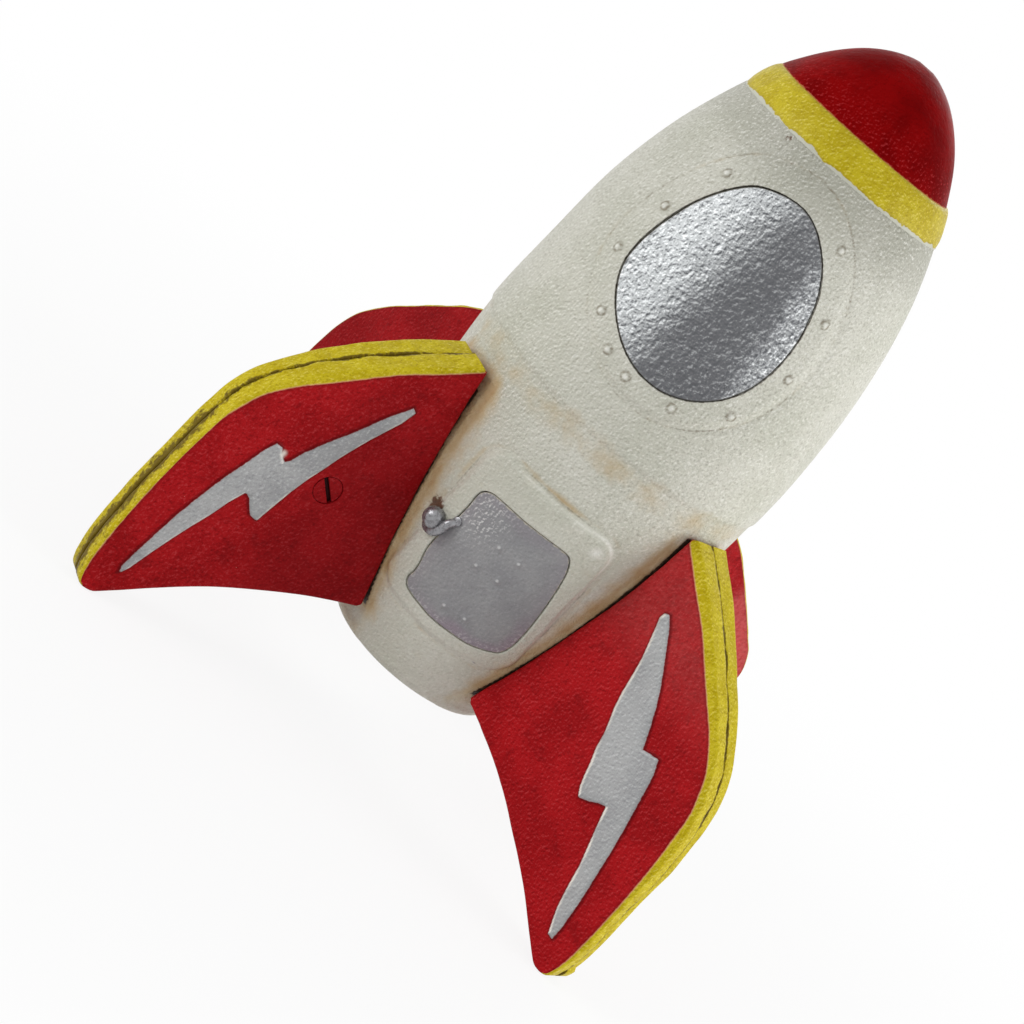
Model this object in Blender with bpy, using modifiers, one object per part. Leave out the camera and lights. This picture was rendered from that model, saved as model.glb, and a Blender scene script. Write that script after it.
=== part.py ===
"""Painted cast-metal space rocket: a two-part shell on a tie rod, with four bolted fins and a hinged hatch.

Metres, +Z up, front (window and hatch) towards -Y, standing on the four fin tips at Z = 0. Every piece
is shaped about the rocket's own axis; the last step sets the middle of the footprint on the origin.
"""

import math

import bmesh
import bpy
from mathutils import Matrix, Vector

# ---- Driving dimensions -------------------------------------------------------------------------

# Fuselage: an ellipse-like upper part and an arc below the belly.
BELLY_RADIUS = 0.0458
BELLY_HEIGHT = 0.122
NOSE_TOP = 0.228
LOWER_ARC_RADIUS = 0.258
SHOULDER_EASE = 0.0009  # how far the shell falls inside the ellipse by the time it meets the collar
SHELL_BOTTOM = 0.0220
SHELL_WALL = 0.004
RIM_ROUND = 0.004
BELT_BELOW_BELLY = 0.0097  # the shell steps in here, just above the fins
BELT_STEP = 0.0005

# Nose cap and collar.
NOSE_HEIGHT = 0.0226
NOSE_SET_BACK = 0.0010
COLLAR_HEIGHT = 0.0090
COLLAR_TOP_ROUND = 0.0008
COLLAR_LOW_ROUND = 0.0003
SPIGOT_HEIGHT = 0.0045
SPIGOT_STEP = 0.0026
NOSE_WALL = 0.004
NOSE_BOSS_RADIUS = 0.0065

# Tie rod and base plate.
ROD_RADIUS = 0.0025
ROD_HEAD_RADIUS = 0.0046
ROD_HEAD_HEIGHT = 0.0032
ROD_IN_NOSE = 0.012
WASHER_RADIUS = 0.0062
WASHER_THICKNESS = 0.0012
PLATE_THICKNESS = 0.0022
PLATE_SPIGOT = 0.0025
PLATE_LEDGE = 0.0022

# Window: an egg on the front, turned a little off centre.
WINDOW_TURN = math.radians(-5.5)
WINDOW_ABOVE_BELLY = 0.034
WINDOW_HALF_WIDTH = 0.0223
WINDOW_RISE = 0.0285
WINDOW_DROP = 0.0252
WINDOW_DOME = 0.0009
WINDOW_FLANGE = 0.0025
WINDOW_SKIN = 0.0022
RING_WIDTH = 0.0060
RING_RISE = 0.0006

# Hatch: a curved leaf in a raised frame, on a pin near its right edge.
HATCH_HEIGHT = 0.0635
HATCH_HALF_WIDTH = 0.0160
HATCH_UP = 0.0200
HATCH_DOWN = 0.0190
HATCH_CORNER = 0.0035
HATCH_SIDE_BOW = 0.0008
HATCH_THICKNESS = 0.0027
HATCH_PROUD = 0.0004
FRAME_SIDE = 0.0050
FRAME_TOP = 0.0092
FRAME_BOTTOM = 0.0042
FRAME_CORNER = 0.006
FRAME_RISE = 0.001
HINGE_FROM_EDGE = 0.0036
HINGE_DEPTH = 0.0013
HINGE_PIN_RADIUS = 0.0009
HINGE_BARREL_RADIUS = 0.0019
HINGE_PIN_OVERRUN = 0.003
HINGE_RUNNING_GAP = 0.00008
HANDLE_HEIGHT = 0.0020  # ball above the hatch centre, along the hatch
HANDLE_BEYOND_EDGE = 0.0017
HANDLE_INSIDE_EDGE = 0.0030
HANDLE_BALL_RADIUS = 0.0030
HANDLE_ARM_RADIUS = 0.0014
HANDLE_SHANK_RADIUS = 0.0012

# Fins: wedge-shaped hollow halves that meet on a radial plane.
FRONT_FIN_ANGLE = math.radians(55.0)  # from straight ahead
REAR_RIGHT_FIN_ANGLE = math.radians(53.0)  # from straight behind
REAR_LEFT_FIN_ANGLE = math.radians(49.0)
FIN_SPAN = 0.0537  # belly to outer edge
FIN_TOP_BELOW_BELLY = 0.0178
FIN_TOP_BOW = 0.0022
FIN_OUTER_BOW = 0.0011
FIN_BOTTOM = 0.0318
FIN_TOP_STANDOFF = 0.0029  # root to shell, at the two ends of the root
FIN_BOTTOM_STANDOFF = 0.0006
FIN_ROOT_BOW = 0.0014
FIN_SEAT = 0.0009  # closest the root comes to the shell between pads
FIN_SHOULDER_BACK = 0.0046
FIN_SHOULDER_HEIGHT = 0.0689
FIN_FOOT = 0.0080
FIN_TRAIL_BOW = 0.0048
FIN_SHOULDER_TRIM = 0.0105
FIN_TOE_TRIM = 0.0042
FIN_HEEL_TRIM = 0.0012
FIN_ROOT_TRIM = 0.0006
FIN_HALF_AT_ROOT = 0.0087
FIN_HALF_AT_EDGE = 0.0050
FIN_WALL = 0.0026
FIN_FACE_CHAMFER = 0.0008
BOLT_RISE = 0.0009

# Tangs of the shell between the fin halves, and the screws through them.
TANG_HALF = 0.0020
SCREW_BEYOND_BELLY = 0.0137
SCREW_HEIGHT = 0.0550
TANG_END_RADIUS = 0.0068
TANG_ABOVE_SCREW = 0.0200
TANG_BELOW_SCREW = 0.0110
PAD_MARGIN = 0.0010
SCREW_RADIUS = 0.0020
SCREW_HEAD_RADIUS = 0.0039
SCREW_HEAD_DEPTH = 0.0024
SCREW_BOSS_RADIUS = 0.0056
SCREW_SLOT_WIDTH = 0.0009
SCREW_SLOT_DEPTH = 0.0011
SCREW_SLOT_TURN = math.radians(45.0)  # as tightened, from level outwards
SCREW_END_COVER = 0.0018

# Clearances.
GAP = 0.0003
HATCH_GAP = 0.0005
OVERLAP = 0.0010
ROUND_STEPS = 36
ARC_TOLERANCE = 0.00013  # how far a facet may stand off a bowed edge

# Sizes that follow from those above.
BELT_HEIGHT = BELLY_HEIGHT - BELT_BELOW_BELLY
COLLAR_TOP = NOSE_TOP - NOSE_HEIGHT
COLLAR_BOTTOM = COLLAR_TOP - COLLAR_HEIGHT
WINDOW_HEIGHT = BELLY_HEIGHT + WINDOW_ABOVE_BELLY
FIN_REACH = BELLY_RADIUS + FIN_SPAN
FIN_TOP = BELLY_HEIGHT - FIN_TOP_BELOW_BELLY
TANG_SCREW = (BELLY_RADIUS + SCREW_BEYOND_BELLY, SCREW_HEIGHT)
HINGE_OFFSET = HATCH_HALF_WIDTH - HINGE_FROM_EDGE

RED = (0.30, 0.012, 0.016)
YELLOW = (0.56, 0.45, 0.02)
IVORY = (0.60, 0.58, 0.50)
SILVER = (0.55, 0.56, 0.57)
GREY = (0.24, 0.24, 0.245)
STEEL = (0.42, 0.42, 0.42)

# ---- Scene and mesh helpers ---------------------------------------------------------------------

for leftover in list(bpy.data.objects):
    bpy.data.objects.remove(leftover, do_unlink=True)

parts = bpy.data.collections.new("space_rocket")
cutters = bpy.data.collections.new("cutters")
bpy.context.scene.collection.children.link(parts)
bpy.context.scene.collection.children.link(cutters)


def paint(name, colour, roughness, metallic):
    material = bpy.data.materials.new(name)
    material.use_nodes = True
    shader = material.node_tree.nodes["Principled BSDF"]
    shader.inputs["Base Color"].default_value = (*colour, 1.0)
    shader.inputs["Roughness"].default_value = roughness
    shader.inputs["Metallic"].default_value = metallic
    return material


RED_PAINT = paint("red_paint", RED, 0.35, 0.0)
YELLOW_PAINT = paint("yellow_paint", YELLOW, 0.45, 0.0)
IVORY_PAINT = paint("ivory_paint", IVORY, 0.5, 0.0)
SILVER_PAINT = paint("silver_paint", SILVER, 0.35, 0.9)
GREY_PAINT = paint("grey_paint", GREY, 0.4, 0.2)
BARE_STEEL = paint("bare_steel", STEEL, 0.35, 1.0)


def helper(name, mesh):
    """An object that only shapes others: a cutter, or a body joined into a part."""
    obj = bpy.data.objects.new(name, mesh)
    cutters.objects.link(obj)
    obj.hide_render = True
    obj.display_type = "WIRE"
    return obj


def part(name, mesh, material):
    obj = bpy.data.objects.new(name, mesh)
    parts.objects.link(obj)
    mesh.materials.clear()
    mesh.materials.append(material)
    mesh.shade_smooth()
    mesh.set_sharp_from_angle(angle=math.radians(35))
    return obj


def evaluated_mesh(obj):
    """The object's mesh with its modifiers applied, welded and with its normals out."""
    graph = bpy.context.evaluated_depsgraph_get()
    mesh = bpy.data.meshes.new_from_object(obj.evaluated_get(graph))
    mesh.transform(obj.matrix_world)
    shape = bmesh.new()
    shape.from_mesh(mesh)
    bmesh.ops.remove_doubles(shape, verts=shape.verts, dist=1e-6)
    bmesh.ops.recalc_face_normals(shape, faces=shape.faces)
    shape.to_mesh(mesh)
    shape.free()
    return mesh


def combine(name, base, *steps):
    """The mesh of base after a chain of Booleans, each step an (operation, mesh) pair."""
    obj = helper(name, base)
    for number, (operation, mesh) in enumerate(steps):
        modifier = obj.modifiers.new(f"{operation.lower()}_{number}", "BOOLEAN")
        modifier.operation = operation
        modifier.solver = "EXACT"
        modifier.object = helper(f"{name}_{number}", mesh)
    bpy.context.view_layer.update()
    mesh = evaluated_mesh(obj)
    for modifier in obj.modifiers:
        bpy.data.objects.remove(modifier.object)
    bpy.data.objects.remove(obj)
    return mesh


def bevelled(mesh, width, angle=40.0, segments=2):
    obj = helper("bevelled", mesh)
    modifier = obj.modifiers.new("bevel", "BEVEL")
    modifier.width = width
    modifier.segments = segments
    modifier.limit_method = "ANGLE"
    modifier.angle_limit = math.radians(angle)
    bpy.context.view_layer.update()
    result = evaluated_mesh(obj)
    bpy.data.objects.remove(obj)
    return result


def moved(mesh, matrix):
    copy = mesh.copy()
    copy.transform(matrix)
    if matrix.determinant() < 0:
        copy.flip_normals()
    return copy


def revolved(profile, steps=ROUND_STEPS):
    """A closed or axis-to-axis profile of (radius, height) pairs, turned about Z with Screw."""
    mesh = bpy.data.meshes.new("profile")
    edges = [(i, i + 1) for i in range(len(profile) - 1)]
    if profile[0][0] > 0 or profile[-1][0] > 0:
        edges.append((len(profile) - 1, 0))
    mesh.from_pydata([(r, 0.0, z) for r, z in profile], edges, [])
    obj = helper("revolved", mesh)
    modifier = obj.modifiers.new("screw", "SCREW")
    modifier.steps = steps
    modifier.render_steps = steps
    modifier.use_merge_vertices = True
    modifier.merge_threshold = 0.00001
    bpy.context.view_layer.update()
    result = evaluated_mesh(obj)
    bpy.data.objects.remove(obj)
    return result


def prism(outline, low, high):
    """A flat outline of (x, y) points, extruded from z = low to z = high."""
    curve = bpy.data.curves.new("outline", "CURVE")
    curve.dimensions = "2D"
    curve.fill_mode = "BOTH"
    curve.extrude = (high - low) / 2
    spline = curve.splines.new("POLY")
    spline.points.add(len(outline) - 1)
    for point, (x, y) in zip(spline.points, outline):
        point.co = (x, y, 0.0, 1.0)
    spline.use_cyclic_u = True
    obj = helper("prism", curve)
    obj.location.z = (low + high) / 2
    bpy.context.view_layer.update()
    mesh = evaluated_mesh(obj)
    bpy.data.objects.remove(obj)
    return mesh


def cylinder(radius, low, high, steps=24, top_radius=None):
    shape = bmesh.new()
    bmesh.ops.create_cone(
        shape,
        cap_ends=True,
        segments=steps,
        radius1=radius,
        radius2=radius if top_radius is None else top_radius,
        depth=high - low,
    )
    bmesh.ops.translate(shape, verts=shape.verts, vec=(0, 0, (low + high) / 2))
    mesh = bpy.data.meshes.new("cylinder")
    shape.to_mesh(mesh)
    shape.free()
    return mesh


def box(low, high):
    shape = bmesh.new()
    bmesh.ops.create_cube(shape, size=1.0)
    size = Vector(high) - Vector(low)
    middle = (Vector(high) + Vector(low)) / 2
    shape.transform(Matrix.Translation(middle) @ Matrix.Diagonal((*size, 1.0)))
    mesh = bpy.data.meshes.new("box")
    shape.to_mesh(mesh)
    shape.free()
    return mesh


def frame_matrix(origin, x_axis, y_axis, z_axis):
    """The matrix that carries local x, y and z onto three world directions at an origin."""
    columns = (*(Vector(axis) for axis in (x_axis, y_axis, z_axis)), Vector(origin))
    matrix = Matrix.Identity(4)
    for index, column in enumerate(columns):
        for row in range(3):
            matrix[row][index] = column[row]
    return matrix


# ---- Outlines -----------------------------------------------------------------------------------


def bowed(start, end, bow):
    """Points from start towards end on a bow that stands off its chord to the left of travel."""
    start, end = Vector(start), Vector(end)
    steps = max(1, math.ceil(math.sqrt(abs(bow) / ARC_TOLERANCE)))
    chord = end - start
    normal = Vector((-chord.y, chord.x)).normalized()
    points = []
    for i in range(steps):
        t = i / steps
        points.append(start + chord * t + normal * (4 * bow * t * (1 - t)))
    return points


def trimmed(points, length):
    """A polyline with this much of its start cut away."""
    points = list(points)
    while len(points) > 2 and (points[1] - points[0]).length < length:
        length -= (points[1] - points[0]).length
        points.pop(0)
    step = points[1] - points[0]
    points[0] = points[0] + step.normalized() * min(length, 0.9 * step.length)
    return points


def outline(corners, corner_steps=4):
    """A closed outline. Each corner is (x, y, trim, bow of the side that follows it).

    A corner is rounded with a parabola over its trim length.
    """
    count = len(corners)
    sides = []
    for i, (x, y, trim, bow) in enumerate(corners):
        nx, ny, next_trim, _ = corners[(i + 1) % count]
        side = [*bowed((x, y), (nx, ny), bow), Vector((nx, ny))]
        side = trimmed(side, trim)
        side = trimmed(side[::-1], next_trim)[::-1]
        sides.append(side)
    points = []
    for i, (x, y, trim, _) in enumerate(corners):
        before, after = sides[i - 1][-1], sides[i][0]
        corner = Vector((x, y))
        if trim > 0:
            for k in range(1, corner_steps):
                t = k / corner_steps
                points.append(before * (1 - t) ** 2 + corner * 2 * t * (1 - t) + after * t**2)
        points.extend(sides[i] if trim > 0 else sides[i][:-1])
    return [(p.x, p.y) for p in points]


def inset(corners, distance):
    """Corners of an outline whose sides all lie this far inside, with the trims shortened to suit."""
    count = len(corners)
    lines = []
    for i in range(count):
        start, end = Vector(corners[i][:2]), Vector(corners[(i + 1) % count][:2])
        along = (end - start).normalized()
        inward = Vector((along.y, -along.x))
        lines.append((start + inward * distance, along))
    result = []
    for i, (_, _, trim, bow) in enumerate(corners):
        (a, da), (b, db) = lines[i - 1], lines[i]
        cross = da.x * db.y - da.y * db.x
        t = ((b - a).x * db.y - (b - a).y * db.x) / cross
        point = a + da * t
        result.append((point.x, point.y, max(trim - distance, 0.0005), bow))
    return result


def crown_radius(z):
    """Radius of the upper ellipse, which the collar and the nose follow."""
    share = (z - BELLY_HEIGHT) / (NOSE_TOP - BELLY_HEIGHT)
    return BELLY_RADIUS * math.sqrt(max(0.0, 1 - share * share))


def shell_radius(z):
    """Outer radius of the fuselage at a height, before the belt's step."""
    if z > BELLY_HEIGHT:
        share = (z - BELLY_HEIGHT) / (COLLAR_BOTTOM - BELLY_HEIGHT)
        return crown_radius(z) - SHOULDER_EASE * share**4
    drop = BELLY_HEIGHT - z
    return BELLY_RADIUS - (LOWER_ARC_RADIUS - math.sqrt(LOWER_ARC_RADIUS**2 - drop**2))


def outer_radius(z):
    return shell_radius(z) - (BELT_STEP if z < BELT_HEIGHT else 0.0)


def heights(low, high, count):
    return [low + (high - low) * i / (count - 1) for i in range(count)]


def band(low, high, inner, outer, count=9):
    """A solid ring that follows the fuselage, between two offsets from its surface."""
    zs = heights(low, high, count)
    profile = [(outer_radius(z) + outer, z) for z in reversed(zs)]
    profile += [(outer_radius(z) + inner, z) for z in zs]
    return revolved(profile)


# ---- Fuselage -----------------------------------------------------------------------------------


def shell_mesh():
    """The whole cored fuselage casting, before it is parted and its openings are cut."""
    top = COLLAR_BOTTOM - GAP
    spigot = shell_radius(top) - SPIGOT_STEP
    rebate = outer_radius(SHELL_BOTTOM) - RIM_ROUND
    profile = [(spigot, top + SPIGOT_HEIGHT), (spigot, top)]
    profile += [(shell_radius(z), z) for z in heights(top, BELT_HEIGHT + OVERLAP / 2, 10)]
    profile += [(outer_radius(z), z) for z in heights(BELT_HEIGHT - OVERLAP / 2, SHELL_BOTTOM + RIM_ROUND, 8)]
    for turn in (30, 60, 90):
        a = math.radians(turn)
        r = outer_radius(SHELL_BOTTOM + RIM_ROUND) - RIM_ROUND * (1 - math.cos(a))
        profile.append((r, SHELL_BOTTOM + RIM_ROUND * (1 - math.sin(a))))
    profile += [(rebate, SHELL_BOTTOM), (rebate, SHELL_BOTTOM + PLATE_THICKNESS)]
    profile.append((rebate - PLATE_LEDGE, SHELL_BOTTOM + PLATE_THICKNESS))
    inner_low = SHELL_BOTTOM + PLATE_THICKNESS + PLATE_SPIGOT
    profile += [
        (max(shell_radius(z) - SHELL_WALL, rebate - PLATE_LEDGE), z) for z in heights(inner_low, top, 13)
    ]
    profile.append((spigot - SHELL_WALL, top + SPIGOT_HEIGHT))
    return revolved(profile)


def egg(margin, steps=28):
    """The window's outline, upper and lower halves with their own heights, grown by a margin."""
    points = []
    for i in range(steps):
        a = 2 * math.pi * i / steps
        half = WINDOW_RISE if math.sin(a) > 0 else WINDOW_DROP
        x = (WINDOW_HALF_WIDTH + margin) * math.copysign(abs(math.cos(a)) ** 0.94, math.cos(a))
        y = (half + margin) * math.copysign(abs(math.sin(a)) ** 0.94, math.sin(a))
        points.append((x, y))
    return points


def window_matrix():
    """Local x across the window, y up, z out of it."""
    across = (math.cos(WINDOW_TURN), math.sin(WINDOW_TURN), 0)
    out = (math.sin(WINDOW_TURN), -math.cos(WINDOW_TURN), 0)
    return frame_matrix((0, 0, WINDOW_HEIGHT), across, (0, 0, 1), out)


def window_prism(margin):
    return moved(prism(egg(margin), BELLY_RADIUS * 0.5, BELLY_RADIUS * 1.2), window_matrix())


HATCH_SLOPE = math.atan2(
    shell_radius(HATCH_HEIGHT + HATCH_UP) - shell_radius(HATCH_HEIGHT - HATCH_DOWN),
    HATCH_UP + HATCH_DOWN,
)
HATCH_SLANT = Vector((0, -math.sin(HATCH_SLOPE), math.cos(HATCH_SLOPE)))
HATCH_OUT = Vector((0, -math.cos(HATCH_SLOPE), -math.sin(HATCH_SLOPE)))
HATCH_CENTRE = Vector((0, -shell_radius(HATCH_HEIGHT), HATCH_HEIGHT))


def hatch_point(x, up, out):
    """A world point from hatch coordinates: across, along the slope, and out of the surface."""
    return HATCH_CENTRE + Vector((x, 0, 0)) + HATCH_SLANT * up + HATCH_OUT * out


def hatch_prism(corners, low, high):
    matrix = frame_matrix(HATCH_CENTRE, (1, 0, 0), HATCH_SLANT, HATCH_OUT)
    return moved(prism(outline(corners, 3), low, high), matrix)


def hatch_corners(margin):
    w, up, down = HATCH_HALF_WIDTH + margin, HATCH_UP + margin, HATCH_DOWN + margin
    corner = HATCH_CORNER + margin
    return [
        (-w, up, corner, 0.0),
        (w, up, corner, HATCH_SIDE_BOW),
        (w, -down, corner, HATCH_SIDE_BOW / 2),
        (-w, -down, corner, HATCH_SIDE_BOW),
    ]


def frame_corners():
    w = HATCH_HALF_WIDTH + FRAME_SIDE
    up, down = HATCH_UP + FRAME_TOP, HATCH_DOWN + FRAME_BOTTOM
    return [
        (-w, up, FRAME_CORNER, 0.0),
        (w, up, FRAME_CORNER, HATCH_SIDE_BOW),
        (w, -down, FRAME_CORNER, HATCH_SIDE_BOW / 2),
        (-w, -down, FRAME_CORNER, HATCH_SIDE_BOW),
    ]


def hinge_line():
    """Two points on the hatch's hinge axis, at the ends of its pin."""
    ends = []
    for up in (-HATCH_DOWN - HINGE_PIN_OVERRUN, HATCH_UP + HINGE_PIN_OVERRUN):
        z = HATCH_HEIGHT + up * math.cos(HATCH_SLOPE)
        surface = math.sqrt(shell_radius(z) ** 2 - HINGE_OFFSET**2)
        ends.append(Vector((HINGE_OFFSET, -surface + HINGE_DEPTH / math.cos(HATCH_SLOPE), z)))
    return ends


def along_hinge(radius, short_low=0.0, short_high=0.0):
    """A cylinder on the hinge axis, the pin's length less a stretch at each end."""
    low, high = hinge_line()
    axis = (high - low).normalized()
    length = (high - low).length
    side = Vector((1, 0, 0))
    matrix = frame_matrix(low, side, axis.cross(side), axis)
    return moved(cylinder(radius, short_low, length - short_high, 16), matrix)


# ---- Fins, in their own frame: x out from the axis, y across the seam, z up ------------------------


def fin_corners():
    """The fin's outline, from the top of the root round clockwise."""
    top = (outer_radius(FIN_TOP) + FIN_TOP_STANDOFF, FIN_TOP)
    bottom = (outer_radius(FIN_BOTTOM) + FIN_BOTTOM_STANDOFF, FIN_BOTTOM)
    return [
        (*top, FIN_ROOT_TRIM, FIN_TOP_BOW),
        (FIN_REACH - FIN_SHOULDER_BACK, FIN_SHOULDER_HEIGHT, FIN_SHOULDER_TRIM, FIN_OUTER_BOW),
        (FIN_REACH, 0.0, FIN_TOE_TRIM, 0.0),
        (FIN_REACH - FIN_FOOT, 0.0, FIN_HEEL_TRIM, -FIN_TRAIL_BOW),
        (*bottom, FIN_ROOT_TRIM, -FIN_ROOT_BOW),
    ]


def fin_half_width(x):
    share = (x - BELLY_RADIUS) / FIN_SPAN
    return FIN_HALF_AT_ROOT + (FIN_HALF_AT_EDGE - FIN_HALF_AT_ROOT) * share


def fin_slab(points, low, high):
    """An outline in the fin's plane, from one distance off the seam to another.

    Each limit is a number, or a function of the distance from the rocket's axis.
    """
    mesh = prism(points, 0.0, 1.0)
    low = low if callable(low) else (lambda x, value=low: value)
    high = high if callable(high) else (lambda x, value=high: value)
    for vertex in mesh.vertices:
        x, z, side = vertex.co
        vertex.co = (x, low(x) if side < 0.5 else high(x), z)
    shape = bmesh.new()
    shape.from_mesh(mesh)
    bmesh.ops.recalc_face_normals(shape, faces=shape.faces)
    shape.to_mesh(mesh)
    shape.free()
    return mesh


def across_fin(mesh):
    """A turned piece about local Z, laid across the fin on the screw's axis."""
    x, z = TANG_SCREW
    return moved(mesh, frame_matrix((x, 0, z), (1, 0, 0), (0, 0, -1), (0, 1, 0)))


def tang_corners(margin=0.0):
    """The shell's tang in the fin's plane: broad where it leaves the shell, round about the screw."""
    x, z = TANG_SCREW
    r = TANG_END_RADIUS + margin
    high, low = z + TANG_ABOVE_SCREW, z - TANG_BELOW_SCREW
    depth = SHELL_WALL * 0.6
    return [
        (outer_radius(high) - depth, high + margin, 0.0, 0.0),
        (x + r, z + r, r * 1.1, 0.0),
        (x + r, z - r, r * 1.1, 0.0),
        (outer_radius(low) - depth, low - margin, 0.0, 0.0),
    ]


def lightning():
    """The raised bolt on a fin's face, from its top tip round clockwise."""
    edge = BELLY_RADIUS
    return [
        (edge + 0.0089, 0.0868, 0.0006, 0.0),
        (edge + 0.0277, 0.0556, 0.0, 0.0),
        (edge + 0.0330, 0.0600, 0.0007, 0.0022),
        (edge + 0.0442, 0.0084, 0.0006, -0.0008),
        (edge + 0.0314, 0.0432, 0.0, 0.0),
        (edge + 0.0246, 0.0386, 0.0007, 0.0),
    ]


def seat_mesh(offset):
    """The solid of revolution that a fin's root, or its cavity, stops at."""
    low, high = FIN_BOTTOM - SHELL_WALL, BELT_HEIGHT
    profile = [(0.0, high)]
    profile += [(outer_radius(z) + offset, z) for z in heights(high - GAP, low, 7)]
    profile.append((0.0, low))
    return revolved(profile)


def fin_half(side):
    """One hollow casting. Side +1 takes the screw's head, side -1 its thread."""
    body = fin_slab(outline(fin_corners(), 3), GAP / 2, fin_half_width)
    body = combine("fin_body", body, ("DIFFERENCE", seat_mesh(FIN_SEAT)))
    body = bevelled(body, FIN_FACE_CHAMFER, 50.0, 1)
    cavity = fin_slab(
        outline(inset(fin_corners(), FIN_WALL), 2),
        -OVERLAP,
        lambda x: fin_half_width(x) - FIN_WALL,
    )
    cavity = combine("cavity", cavity, ("DIFFERENCE", seat_mesh(FIN_SEAT + FIN_WALL)))
    boss_face = TANG_HALF + GAP
    screw_face = fin_half_width(TANG_SCREW[0])
    boss = across_fin(cylinder(SCREW_BOSS_RADIUS, TANG_HALF / 2, screw_face - FIN_WALL / 2, 12))
    slot = fin_slab(outline(tang_corners(GAP), 3), -OVERLAP, boss_face)
    raised = fin_slab(
        outline(lightning(), 2),
        lambda x: fin_half_width(x) - FIN_WALL / 2,
        lambda x: fin_half_width(x) + BOLT_RISE,
    )
    steps = [("DIFFERENCE", cavity), ("UNION", boss), ("DIFFERENCE", slot), ("UNION", raised)]
    clearance = SCREW_RADIUS + GAP
    if side > 0:
        hole = across_fin(cylinder(clearance, 0.0, screw_face + OVERLAP, 12))
        sink_low = screw_face - SCREW_HEAD_DEPTH - GAP / 2
        sink = across_fin(cylinder(clearance, sink_low, screw_face + OVERLAP, 16, sink_radius()))
        steps += [("DIFFERENCE", hole), ("DIFFERENCE", sink)]
    else:
        steps.append(("DIFFERENCE", across_fin(cylinder(clearance, 0.0, screw_end(), 12))))
    mesh = combine("fin_half", body, *steps)
    return mesh if side > 0 else moved(mesh, Matrix.Diagonal((1, -1, 1, 1)))


def sink_radius():
    """The countersink's radius where its cutter ends, beyond the fin's face."""
    slope = (SCREW_HEAD_RADIUS - SCREW_RADIUS) / SCREW_HEAD_DEPTH
    return SCREW_HEAD_RADIUS + GAP + slope * OVERLAP


def screw_end():
    """How far the thread reaches into its blind hole from the seam."""
    return fin_half_width(TANG_SCREW[0]) - SCREW_END_COVER


def fin_screw_mesh():
    face = fin_half_width(TANG_SCREW[0]) - GAP / 2
    shank_end = -(screw_end() - GAP)
    profile = [
        (0.0, face),
        (SCREW_HEAD_RADIUS, face),
        (SCREW_RADIUS, face - SCREW_HEAD_DEPTH),
        (SCREW_RADIUS, shank_end + SCREW_RADIUS / 2),
        (SCREW_RADIUS / 2, shank_end),
        (0.0, shank_end),
    ]
    slot = box(
        (-2 * SCREW_HEAD_RADIUS, -SCREW_SLOT_WIDTH / 2, face - SCREW_SLOT_DEPTH),
        (2 * SCREW_HEAD_RADIUS, SCREW_SLOT_WIDTH / 2, face + OVERLAP),
    )
    slot.transform(Matrix.Rotation(-SCREW_SLOT_TURN, 4, "Z"))
    return across_fin(combine("fin_screw", revolved(profile, 16), ("DIFFERENCE", slot)))


def pad_patch(margin=0.0):
    """A block over the footprint of a fin's pad, in the fin's frame."""
    low, high = FIN_BOTTOM - PAD_MARGIN - margin, FIN_TOP + margin
    half = FIN_HALF_AT_ROOT + PAD_MARGIN + margin
    low_half = fin_half_width(outer_radius(FIN_BOTTOM)) + PAD_MARGIN + margin
    corners = [
        (-low_half, low, PAD_MARGIN, 0.0),
        (-half, high, PAD_MARGIN, 0.0),
        (half, high, PAD_MARGIN, 0.0),
        (low_half, low, PAD_MARGIN, 0.0),
    ]
    matrix = frame_matrix((0, 0, 0), (0, 1, 0), (0, 0, 1), (1, 0, 0))
    return moved(prism(outline(corners, 3), BELLY_RADIUS * 0.4, BELLY_RADIUS * 1.2), matrix)


def pad_mesh():
    """The raised pad that a fin seats on, in the fin's frame."""
    low, high = FIN_BOTTOM - PAD_MARGIN, FIN_TOP
    ring = band(low - GAP, high + GAP, -SHELL_WALL / 2, FIN_SEAT - GAP, 10)
    return combine("pad", ring, ("INTERSECT", pad_patch()))


def tang_mesh():
    tang = fin_slab(outline(tang_corners(), 3), -TANG_HALF, TANG_HALF)
    hole = across_fin(cylinder(SCREW_RADIUS + GAP, -2 * TANG_HALF, 2 * TANG_HALF, 12))
    return combine("tang", tang, ("DIFFERENCE", hole))


FIN_PLACES = {
    "front_left": -math.pi / 2 - FRONT_FIN_ANGLE,
    "front_right": -math.pi / 2 + FRONT_FIN_ANGLE,
    "rear_right": math.pi / 2 - REAR_RIGHT_FIN_ANGLE,
    "rear_left": math.pi / 2 + REAR_LEFT_FIN_ANGLE,
}


# ---- Building the parts ---------------------------------------------------------------------------


def build_body(name, front):
    """One half of the fuselage, with the pads and tangs of its two fins."""
    reach = 2 * BELLY_RADIUS
    side = box((-reach, GAP / 2, 0), (reach, reach, NOSE_TOP))
    if front:
        side = box((-reach, -reach, 0), (reach, -GAP / 2, NOSE_TOP))
    steps = [("INTERSECT", side)]
    pad, tang = pad_mesh(), tang_mesh()
    for place, angle in FIN_PLACES.items():
        if place.startswith("front") == front:
            turn = Matrix.Rotation(angle, 4, "Z")
            steps += [("UNION", moved(pad, turn)), ("UNION", moved(tang, turn))]
    if front:
        steps += front_features()
    return part(name, combine(name, shell_mesh(), *steps), IVORY_PAINT)


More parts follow.
